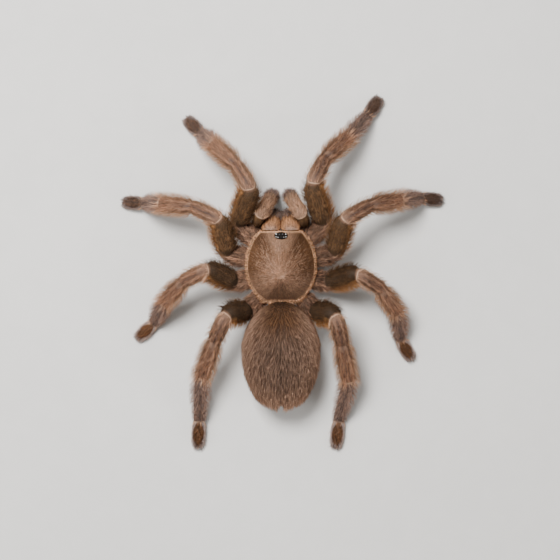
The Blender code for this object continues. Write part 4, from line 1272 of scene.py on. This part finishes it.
class TARANTULA_OT_jaws(bpy.types.Operator):
    """Make the chelicerae with their coat and bristles, and the fangs."""

    bl_idname = "tarantula.jaws"
    bl_label = "Jaws"

    def execute(self, context):
        jaw = rgb("jaw")
        down = [(0.0, rgb("jaw", 0.9)), (0.3, jaw), (0.5, rgb("jaw", 0.7)), (0.7, rgb("dark_stripe", 1.5))]
        # The below tone is painted shade on the jaws' flanks and undersides.
        looks = {"down": down, "base": (0.29, 0.195, 0.155), "below": rgb("underside", 0.5)}
        skin, fur = skin_and_coat("jaw", jaw_colours, [looks], 0.7, (1.05, 1.0, 0.95), 1.5, 0.35, 1.2)
        stops = [(0.0, rgb("underside", 1.5)), (1.0, rgb("underside"))]
        dark = markings("bristle markings", down_colours, stops)
        bristle = coat_material("jaw bristles", dark, (1.1, 1.1, 1.25), 0.9, 0.7, 1.5)
        fang = plain_material("fang", (0.006, 0.004, 0.003), (0.02, 0.011, 0.007),
                              {"Roughness": 0.22, "Coat Weight": 0.6})
        for index, (name, side) in enumerate(SIDES.items()):
            limb = self.build_base(name, side, skin)
            self.grow_coat(name, side, limb, fur, bristle, np.random.default_rng(SEED + 20 + index))
            self.build_fang(name, side, fang)
        return {"FINISHED"}

    def build_base(self, name, side, material):
        wide, deep = CHELICERA_HALF_WIDTH * 0.97, CHELICERA_HALF_DEPTH * 0.97
        sizes = [(place, wide * w, deep * d) for place, w, d in CHELICERA_PROFILE]
        middle = side * (JAW_GAP / 2 + CHELICERA_HALF_WIDTH)
        limb = jaw_limb(CHELICERA_PATH, CHELICERA_BEND, middle, sizes)
        limb.points[:, 0] -= side * (wide - limb.wide)
        limb.unwrap_height = 2.0
        places = np.concatenate([np.linspace(0.0, 1.9, 60), [1.94, 1.97, 1.99]])
        limb_skin(f"chelicera_{name}_skin", limb, places, material, [f"chelicera_{name}"], 56)
        return limb

    def grow_coat(self, name, side, limb, fur, bristle, draw):
        coat = Coat(f"chelicera_{name}_coat")
        length = coat_length()

        def short(place, angle):
            inner = np.clip(-side * np.cos(angle) - 0.3, 0.0, 0.5) / 0.5
            return 1.2 * length * (1 - 0.35 * inner), 15 + 25 * inner, 3 + 20 * inner, 0.0

        growth = Growth(9000, SPIKE, width_mm("strand_width") * 0.85, ANY, 5, 0.4, (0.5, 0.1), 6.0)
        dress_limb(coat, limb, draw, growth, 0.02, 1.9, short)
        coat.make(fur)
        coat = Coat(f"chelicera_{name}_bristles")

        def long(place, angle):
            return 2.2 * length, 40.0, 20.0, 0.0

        def in_front(place, angle):
            return np.where((np.sin(angle) > 0.1) & (place > 0.85), 0.9, 0.1)

        growth = Growth(900, LONG_STRAND, 0.11, ANY, 2, 0.1, (0.4, 0.2), 9.0)
        dress_limb(coat, limb, draw, growth, 0.8, 1.95, long, in_front)
        coat.make(bristle)

    def build_fang(self, name, side, material):
        sizes = [(place, FANG_RADIUS * size, FANG_RADIUS * size) for place, size in FANG_PROFILE]
        tip_width = CHELICERA_HALF_WIDTH * CHELICERA_PROFILE[-1][1]
        limb = jaw_limb(FANG_PATH, FANG_BEND, side * (JAW_GAP / 2 + tip_width), sizes)
        node = f"fang_{name}"
        limb_skin(f"{node}_horn", limb, np.linspace(0.0, 2.0, 61), material, [node], 24)


class TARANTULA_OT_legs(bpy.types.Operator):
    """Make the eight leg skins, each one surface from hip to foot, and their coats."""

    bl_idname = "tarantula.legs"
    bl_label = "Legs"

    # For coxa, femur, patella, tibia, metatarsus and tarsus
    short_length = (1.9, 1.3, 1.3, 1.5, 1.3, 1.15)
    short_rise = (34.0, 18.0, 18.0, 20.0, 20.0, 26.0)
    short_mess = (26.0, 4.0, 4.0, 5.0, 5.0, 7.0)
    long_length = (2.4, 2.6, 2.4, 3.2, 3.0, 1.5)
    long_amount = (0.9, 0.7, 0.5, 1.0, 0.9, 0.2)

    def execute(self, context):
        fore, hind = (skin_and_coat(name, limb_colours, [looks, "leg"], 0.5, (1.14, 1.0, 0.88), 1.15)
                      for name, looks in (("fore leg", leg_looks(True)), ("hind leg", leg_looks(False))))
        for side_index, side_name in enumerate(SIDES):
            for pair in LEG_LENGTHS:
                skin, fur = fore if pair < 3 else hind
                limb = leg_limb(pair, side_name)
                name = f"leg_{pair}_{side_name}"
                nodes = [f"{name}_{part}" for part in ("coxa", "femur", "patella_tibia", "metatarsus_tarsus")]
                limb_skin(f"{name}_skin", limb, np.linspace(0, 6, 157), skin, nodes)
                self.grow(name, limb, fur, np.random.default_rng(SEED + 100 + 10 * pair + side_index))
        return {"FINISHED"}

    def grow(self, name, limb, material, draw):
        coat = Coat(f"{name}_coat")
        width, seta, length = width_mm("strand_width"), width_mm("seta_width"), coat_length()
        rear = -1.0 if limb.mirror else 1.0

        def short(place, angle):
            side = np.abs(np.cos(angle))
            size = by_segment(place, self.short_length) * length
            size = np.minimum(size, room_ahead(limb, place, LEG_STOPS, 0.1))
            size *= 1.0 - 0.55 * np.minimum(bump_at(place, (1.93, 2.12), 0.13), 1.0) * (1.0 - side)
            rise = by_segment(place, self.short_rise) * (0.5 + 0.8 * side)
            mess = by_segment(place, self.short_mess) * draw.normal(0, 0.7, place.shape)
            return size, rise, rise * 0.3, mess

        def long(place, angle):
            fringed = (place > 1.1) & (place < 2.0) & (rear * np.cos(angle) > 0.3)
            size = by_segment(place, self.long_length) * np.where(fringed, 1.3, 1.0) * length
            side = np.abs(np.cos(angle)) ** 1.5
            size = np.minimum(size, room_ahead(limb, place, KNEE, 0.5) + 2.0 * side)
            size *= 1.0 - 0.8 * np.minimum(bump_at(place, (1.9, 2.15), 0.2), 1.0) * (1.0 - side)
            size *= 1.0 - 0.6 * clipped((place - 4.3) / 0.6) * (place < 5.0)
            rise = 8.0 + 44.0 * side
            return size, rise, rise * 0.6, 0.0

        def at_sides(place, angle):
            side = np.cos(angle) ** 2 * 0.85 + 0.15
            return by_segment(place, self.long_amount) * side * np.where(np.sin(angle) < -0.7, 0.4, 1.0)

        def sole(place, angle):
            return 0.85 * length, 38.0, 18.0, 0.0

        dress_limb(coat, limb, draw, Growth(15000, SPIKE, width * 1.1, ANY, 5, 0.45, (0.5, 0.09), 3.0),
                   0.3, 5.98, short, limb.off_lips)
        dress_limb(coat, limb, draw, Growth(3200, SHORT_STRAND, seta, (0.5, 1.0), 2, 0.0, (0.6, 0.3), 7.0),
                   0.4, 5.9, long, at_sides)
        dress_limb(coat, limb, draw, Growth(2000, SPIKE, 0.12, BRIGHT, 3, 0.2, (0.2, 0.1), 10.0),
                   4.95, 6.0, sole, lambda place, angle: np.where(np.sin(angle) < 0.6, 1.0, 0.25))
        coat.make(material)


class TARANTULA_OT_palps(bpy.types.Operator):
    """Make the two palps' skins and coats."""

    bl_idname = "tarantula.palps"
    bl_label = "Palps"

    short_length = (0.9, 0.9, 1.2, 1.3, 1.2)
    long_length = (1.0, 1.0, 1.5, 2.0, 2.2)

    def execute(self, context):
        looks = [palp_looks(), "palp"]
        skin, fur = skin_and_coat("palp", limb_colours, looks, 0.65, (1.1, 1.0, 0.9), 1.4)
        for index, side_name in enumerate(SIDES):
            limb = palp_limb(side_name)
            name = f"palp_{side_name}"
            nodes = [f"{name}_{part}" for part in ("coxa", "femur", "patella_tibia", "tarsus")]
            limb_skin(f"{name}_skin", limb, np.linspace(0, 5, 131), skin, nodes)
            self.grow(name, limb, fur, np.random.default_rng(SEED + 40 + index))
        return {"FINISHED"}

    def grow(self, name, limb, material, draw):
        coat = Coat(f"{name}_coat")

        def short(place, angle):
            size = by_segment(place, self.short_length) * coat_length()
            return np.minimum(size, room_ahead(limb, place, KNEE)), 21.0, 7.0, 0.0

        def long(place, angle):
            return by_segment(place, self.long_length) * coat_length(), 38.0, 22.0, 0.0

        width = width_mm("strand_width") * 0.95
        dress_limb(coat, limb, draw, Growth(9000, SPIKE, width, ANY, 5, 0.4, (0.4, 0.1)),
                   0.3, 4.97, short, limb.off_lips)
        dress_limb(coat, limb, draw, Growth(700, LONG_STRAND, 0.095, BRIGHT, 2, 0.1, (0.4, 0.2), 8.0),
                   2.1, 4.9, long)
        coat.make(material)


def abdomen_points(v, angle, gap=0.0):
    """Points of the abdomen. v turns from 0 at its front to pi at its rear."""
    along = (1.0 - np.cos(v)) / 2
    girth = np.maximum(np.sin(v), 0.0) ** (FRONT_FULLNESS + (REAR_FULLNESS - FRONT_FULLNESS) * along)
    tall = np.where(np.sin(angle) > 0, ABDOMEN_ABOVE, ABDOMEN_BELOW)
    return np.stack([
        (ABDOMEN_HALF_WIDTH + gap) * girth * np.cos(angle),
        ABDOMEN_FRONT - gap * 0.5 + (ABDOMEN_REAR + gap * 1.5 - ABDOMEN_FRONT) * along,
        ABDOMEN_AXIS + (tall + gap) * girth * np.sin(angle),
    ], axis=-1)


def abdomen_ways(v, angle, gap, step=0.004):
    """Points of the abdomen with the ways out, back and round."""
    here = abdomen_points(v, angle, gap)
    back = unit(abdomen_points(v + step, angle, gap) - abdomen_points(v - step, angle, gap))
    round_it = unit(abdomen_points(v, angle + step, gap) - abdomen_points(v, angle - step, gap))
    out = unit(np.cross(back, round_it))
    centre = np.stack([0 * v, here[..., 1], 0 * v + ABDOMEN_AXIS], axis=-1)
    out = np.where(column(((here - centre) * out).sum(-1) < 0), -out, out)
    return here, out, back, round_it


class TARANTULA_OT_abdomen(bpy.types.Operator):
    """Make the abdomen's skin, its pedicel and its coat in two halves."""

    bl_idname = "tarantula.abdomen"
    bl_label = "Abdomen"

    skin_gap = 0.1
    halves = {"left": (-0.5, 0.5), "right": (0.5, 1.5)}
    # (along, share of the radius)
    pedicel = ((STERNUM_REAR - 0.5, 1.05), (9.4, 0.92), (10.2, 0.86), (11.2, 0.95), (13.2, 1.0))

    def execute(self, context):
        front, middle, margin = rgb("abdomen_front"), rgb("abdomen"), rgb("abdomen_margin")
        # The first stops, darker than the front's own brown, are painted shadow of the carapace; the rear
        # stops are lighter, partly as painted light on the rear slope, which turns from the key light.
        looks = {
            "middle": [(0.0, rgb("abdomen_front", 0.4)), (0.1, rgb("abdomen_front", 0.6)), (0.17, front),
                       (0.27, rgb("abdomen_front", 1.25)), (0.42, middle), (0.68, rgb("abdomen", 1.1)),
                       (0.8, rgb("abdomen_margin", 1.1)), (1.0, rgb("abdomen_margin", 1.7))],
            "margin": [(0.0, rgb("abdomen_front", 0.4)), (0.1, rgb("abdomen_front", 0.8)), (0.27, margin),
                       (0.7, margin), (1.0, rgb("abdomen_margin", 1.8))],
            "parting": rgb("abdomen", 0.5), "below": rgb("underside", 1.4),
        }
        skin, fur = skin_and_coat("abdomen", abdomen_colours, [looks], 0.5, (1.0, 1.0, 1.0), 1.2, 0.2, 2.2)
        self.build_skin(skin)
        draw = np.random.default_rng(SEED + 60)
        for name, (first, last) in self.halves.items():
            coat = Coat(f"abdomen_coat_{name}")
            under = Growth(14000, SPIKE, 0.15, (0.1, 0.5), 4, 0.3, (0.5, 0.1), 4.0)
            self.grow(coat, draw, under, first, last, 1.9, 10.0)
            over = Growth(12600, SHORT_STRAND, 0.12, (0.15, 0.95), 5, 0.7, (0.35, 0.12), 1.5)
            self.grow(coat, draw, over, first, last, 3.3, 22.0)
            coat.make(fur)
        return {"FINISHED"}

    def build_skin(self, material):
        vs = np.linspace(0.06, math.pi - 0.06, 80)
        rings = abdomen_points(*crossed(vs, around(96)), self.skin_gap)
        ends = [abdomen_points(v, 0.0, self.skin_gap) for v in (0.0, math.pi)]
        add_skin("abdomen_skin", rings, vs / math.pi, material, ["abdomen"], ends)
        turns = around(32)
        rings = [np.stack([PEDICEL_RADIUS * size * np.cos(turns), np.full(32, y),
                           PEDICEL_HEIGHT + PEDICEL_RADIUS * size * np.sin(turns)], axis=-1)
                 for y, size in self.pedicel]
        add_skin("pedicel", np.array(rings), np.linspace(0, 0.05, len(rings)), material)

    def grow(self, coat, draw, growth, first, last, length, rise):
        """Tufts over one half, which lie back and part from the midline of the back."""
        vs = np.linspace(0.02, math.pi - 0.02, 600)
        sums = np.cumsum(np.sin(vs) ** 0.85 * (0.55 + 0.45 * np.sin(vs)))
        v, angle = spread_evenly(draw, growth.tufts)
        v = np.interp(v * sums[-1], sums, vs)
        angle = (first + (last - first) * angle) * math.pi
        v, angle = np.repeat(v, growth.tuft), np.repeat(angle, growth.tuft)
        total = len(v)
        girth = ABDOMEN_HALF_WIDTH * np.maximum(np.sin(v), 0.1)
        v = np.clip(v + draw.normal(0, growth.spread[0], total) / 15.0, 0.02, math.pi - 0.02)
        angle = angle + draw.normal(0, growth.spread[1], total) / girth
        root, out, back, round_it = abdomen_ways(v, angle, self.skin_gap)
        upper = clipped(np.sin(angle) * 1.4) * clipped(np.abs(root[:, 0]) / 0.8)
        fan = 11.0 * upper * clipped(v / 0.5 - 0.5) * clipped(2.6 - v)
        way = lean(back, round_it, draw.normal(0, growth.stray, total) - fan * np.sign(np.cos(angle)))
        tail = column(np.clip((v - 2.3) / 0.5, 0.0, 0.75))
        way = unit(way * (1.0 - tail) + np.array([0.0, 1.0, -0.2]) * tail)
        size = length * coat_length() * draw.uniform(0.8, 1.15, total)
        size *= 0.25 + 0.75 * clipped(v / 1.2)
        at_rear = clipped((v - 2.35) / 0.5)
        size *= 1.0 - 0.45 * at_rear * clipped(np.abs(root[:, 0]) / 5.0 - 0.3)
        size *= 1.0 - 0.6 * at_rear * np.exp(-((root[:, 0] / 0.9) ** 2))
        side = np.abs(np.cos(angle)) ** 2 * np.sin(v) * np.clip(v / 0.9, 0.3, 1.0)
        lift = np.radians((rise + 22.0 * side) * draw.uniform(0.75, 1.25, total))
        settle = lift * (0.1 + 0.25 * side) - 0.06
        width = growth.width * draw.uniform(0.85, 1.15, total)
        points = bent_strands(root, out, way, size, lift, settle, width,
                              growth.steps, growth.pull, growth.tuft)
        roots = np.stack([np.mod(angle / (2 * math.pi), 1.0), v / math.pi], axis=-1)
        coat.add(points, growth.steps, roots, tuft_tones(draw, growth.tones, growth.tufts, growth.tuft))


class TARANTULA_OT_spinnerets(bpy.types.Operator):
    """Make the two long jointed spinnerets with their coat."""

    bl_idname = "tarantula.spinnerets"
    bl_label = "Spinnerets"

    # (part of the length, share of the radius)
    profile = (
        (0.0, 1.0), (0.5, 1.0), (0.56, 0.84), (0.62, 0.9), (0.76, 0.84), (0.8, 0.66), (0.9, 0.62), (1.0, 0.3),
    )

    def execute(self, context):
        stops = [(0.0, rgb("abdomen")), (0.5, rgb("abdomen_margin"))]
        skin, fur = skin_and_coat("spinneret", down_colours, [stops], 0.7)
        radius = SPINNERET_RADIUS * 0.93
        sizes = [(part, radius * size, radius * size) for part, size in self.profile]
        for index, (name, side) in enumerate(SIDES.items()):
            limb = Limb([(side * x, y, z) for x, y, z in (SPINNERET_ROOT, SPINNERET_TIP)], (), sizes)
            limb.unwrap_height = 1.0
            node = f"spinneret_{name}"
            limb_skin(f"{node}_skin", limb, np.linspace(0.0, 0.99, 40), skin, [node], 28)
            coat = Coat(f"{node}_coat")
            dress_limb(coat, limb, np.random.default_rng(SEED + 80 + index),
                       Growth(1600, SPIKE, 0.11, ANY, 4, 0.3, (0.3, 0.1)), 0.1, 0.98,
                       lambda place, angle: (0.9, 20.0, 5.0, 0.0))
            coat.make(fur)
        return {"FINISHED"}


def sternum_points(part, turn, height=None):
    """The sternum's shallow bowl, or its outline at a height."""
    middle, half_length = (STERNUM_FRONT + STERNUM_REAR) / 2, (STERNUM_REAR - STERNUM_FRONT) / 2
    if height is None:
        height = STERNUM_BOTTOM + STERNUM_DEPTH - STERNUM_DEPTH * np.sqrt(1 - part ** 2)
    x, y = STERNUM_HALF_WIDTH * part * np.sin(turn), middle - half_length * part * np.cos(turn)
    return np.stack([x, y, np.broadcast_to(height, x.shape)], axis=-1)


class TARANTULA_OT_underside(bpy.types.Operator):
    """Make the sternum and the soft side wall below the carapace."""

    bl_idname = "tarantula.underside"
    bl_label = "Underside"

    # (part of the carapace's edge, height)
    wall = ((0.6, 8.6), (0.74, 8.9), (0.82, 9.6), (0.86, 10.6), (0.88, 11.7), (0.6, 12.0))

    def execute(self, context):
        stops = [(0.0, rgb("underside")), (0.6, rgb("underside", 1.2)), (1.0, rgb("coxa", 0.7))]
        skin, fur = skin_and_coat("underside", down_colours, [stops], 0.9)
        turns = around(72)
        rings = [sternum_points(part, turns) for part in np.linspace(0.06, 0.985, 22)]
        rings += [sternum_points(1.0, turns, height) for height in (6.6, 7.6, 8.6, 9.6, 10.6, 11.1)]
        vs = np.linspace(0.0, 0.7, len(rings))
        add_skin("sternum_plate", np.array(rings), vs, skin, ["sternum"])
        self.build_wall(skin)
        self.grow(fur)
        return {"FINISHED"}

    def build_wall(self, material):
        """Soft skin between the carapace's edge and the hips."""
        edge_x, edge_y = carapace_edge(around(120))
        rings = [np.stack([edge_x * part, FOVEA_Y + (edge_y - FOVEA_Y) * part, np.full(120, z)], axis=-1)
                 for part, z in self.wall]
        add_skin("side_wall", np.array(rings), np.linspace(0.7, 1.0, 6), material)

    def grow(self, material):
        draw = np.random.default_rng(SEED + 70)
        coat = Coat("sternum_coat")
        count = number(2400)
        part, turn = np.sqrt(draw.uniform(0.0, 0.95, count)), draw.uniform(0, 2 * math.pi, count)
        root = sternum_points(part, turn)
        across, ahead = 0.5 * part * np.sin(turn), -0.3 * part * np.cos(turn)
        out = unit(np.stack([across, ahead, -np.ones(count)], axis=-1))
        back = np.broadcast_to(np.array([0.0, 1.0, 0.0]), root.shape)
        way = unit(back - out * column((back * out).sum(-1)))
        points = bent_strands(root, out, way, draw.uniform(0.8, 1.4, count), 0.4, 0.15, 0.16, SPIKE)
        roots = np.stack([turn / (2 * math.pi), 0.5 * part], axis=-1)
        coat.add(points, SPIKE, roots, draw.uniform(*ANY, count))
        coat.make(material)


class TARANTULA_OT_stage(bpy.types.Operator):
    """Make the floor, the lights and the camera."""

    bl_idname = "tarantula.stage"
    bl_label = "Stage"

    floor_half = 3.0
    sensor = 36.0
    back_height = 0.015
    # Place from the spider's middle, width and the setting with the power
    lights = {
        "key": ((0.14, -0.20, 0.51), 0.2, "key_power"),
        "fill left": ((0.50, 0.10, 0.32), 0.35, "fill_power"),
        "fill right": ((-0.62, 0.22, 0.40), 0.35, "fill_power"),
    }

    def execute(self, context):
        settings = context.scene.tarantula_stage
        self.lay_floor(settings)
        middle = Vector(ORIGIN) + Vector((0, 0.005, 0))
        for name, (place, size, power) in self.lights.items():
            self.add_light(name, place, size, getattr(settings, power), middle)
        world = bpy.data.worlds.new("studio")
        world.use_nodes = True
        back = world.node_tree.nodes["Background"]
        back.inputs["Color"].default_value = (1.0, 0.99, 0.97, 1.0)
        back.inputs["Strength"].default_value = 0.28
        context.scene.world = world
        self.set_camera(context, settings)
        return {"FINISHED"}

    def lay_floor(self, settings):
        h = self.floor_half
        mesh = bpy.data.meshes.new("floor")
        mesh.from_pydata([(-h, -h, 0), (h, -h, 0), (h, h, 0), (-h, h, 0)], [], [(0, 1, 2, 3)])
        floor = bpy.data.objects.new("floor", mesh)
        bpy.context.scene.collection.objects.link(floor)
        tone = tuple(settings.floor)
        light = tuple(min(1.0, c * 1.04) for c in tone)
        mesh.materials.append(plain_material("floor", tone, light, {"Roughness": 0.75}, 0.05, 0.05))

    def add_light(self, name, place, size, power, target):
        data = bpy.data.lights.new(name, "AREA")
        data.shape = "SQUARE"
        data.size = size
        data.energy = power
        light = bpy.data.objects.new(name, data)
        light.location = Vector(place) + target
        light.rotation_euler = (target - light.location).to_track_quat("-Z", "Y").to_euler()
        bpy.context.scene.collection.objects.link(light)

    def set_camera(self, context, settings):
        """Straight down, with the head at the picture's top."""
        data = bpy.data.cameras.new("camera")
        data.sensor_width = self.sensor
        data.lens = self.sensor * (settings.camera_height - self.back_height) / settings.field
        data.clip_start = 0.01
        camera = bpy.data.objects.new("camera", data)
        camera.location = (ORIGIN[0] + settings.aim_x, ORIGIN[1] + settings.aim_y, settings.camera_height)
        camera.rotation_euler = (0.0, 0.0, math.pi)
        context.scene.collection.objects.link(camera)
        context.scene.camera = camera


class TARANTULA_PT_panel(bpy.types.Panel):
    """Lists the operators and the settings."""

    bl_idname = "TARANTULA_PT_panel"
    bl_label = "Tarantula"
    bl_space_type = "VIEW_3D"
    bl_region_type = "UI"
    bl_category = "Tarantula"

    def draw(self, context):
        for made in OPERATORS:
            self.layout.operator(made.bl_idname)
        for kind in ("coat", "colours", "stage"):
            settings = getattr(context.scene, f"tarantula_{kind}")
            box = self.layout.box()
            box.label(text=kind.capitalize())
            for key in settings.__annotations__:
                box.prop(settings, key)


SETTINGS = {
    "tarantula_colours": TARANTULA_PG_colours,
    "tarantula_coat": TARANTULA_PG_coat,
    "tarantula_stage": TARANTULA_PG_stage,
}
OPERATORS = (
    TARANTULA_OT_stage,
    TARANTULA_OT_carapace,
    TARANTULA_OT_eyes,
    TARANTULA_OT_jaws,
    TARANTULA_OT_palps,
    TARANTULA_OT_legs,
    TARANTULA_OT_abdomen,
    TARANTULA_OT_spinnerets,
    TARANTULA_OT_underside,
)


def register():
    for name, group in SETTINGS.items():
        bpy.utils.register_class(group)
        setattr(bpy.types.Scene, name, bpy.props.PointerProperty(type=group))
    for made in (*OPERATORS, TARANTULA_PT_panel):
        bpy.utils.register_class(made)


def unregister():
    for made in (TARANTULA_PT_panel, *reversed(OPERATORS)):
        bpy.utils.unregister_class(made)
    for name, group in reversed(list(SETTINGS.items())):
        delattr(bpy.types.Scene, name)
        bpy.utils.unregister_class(group)


def main():
    register()
    for made in OPERATORS:
        getattr(bpy.ops.tarantula, made.bl_idname.partition(".")[2])()


if __name__ == "__main__":
    main()
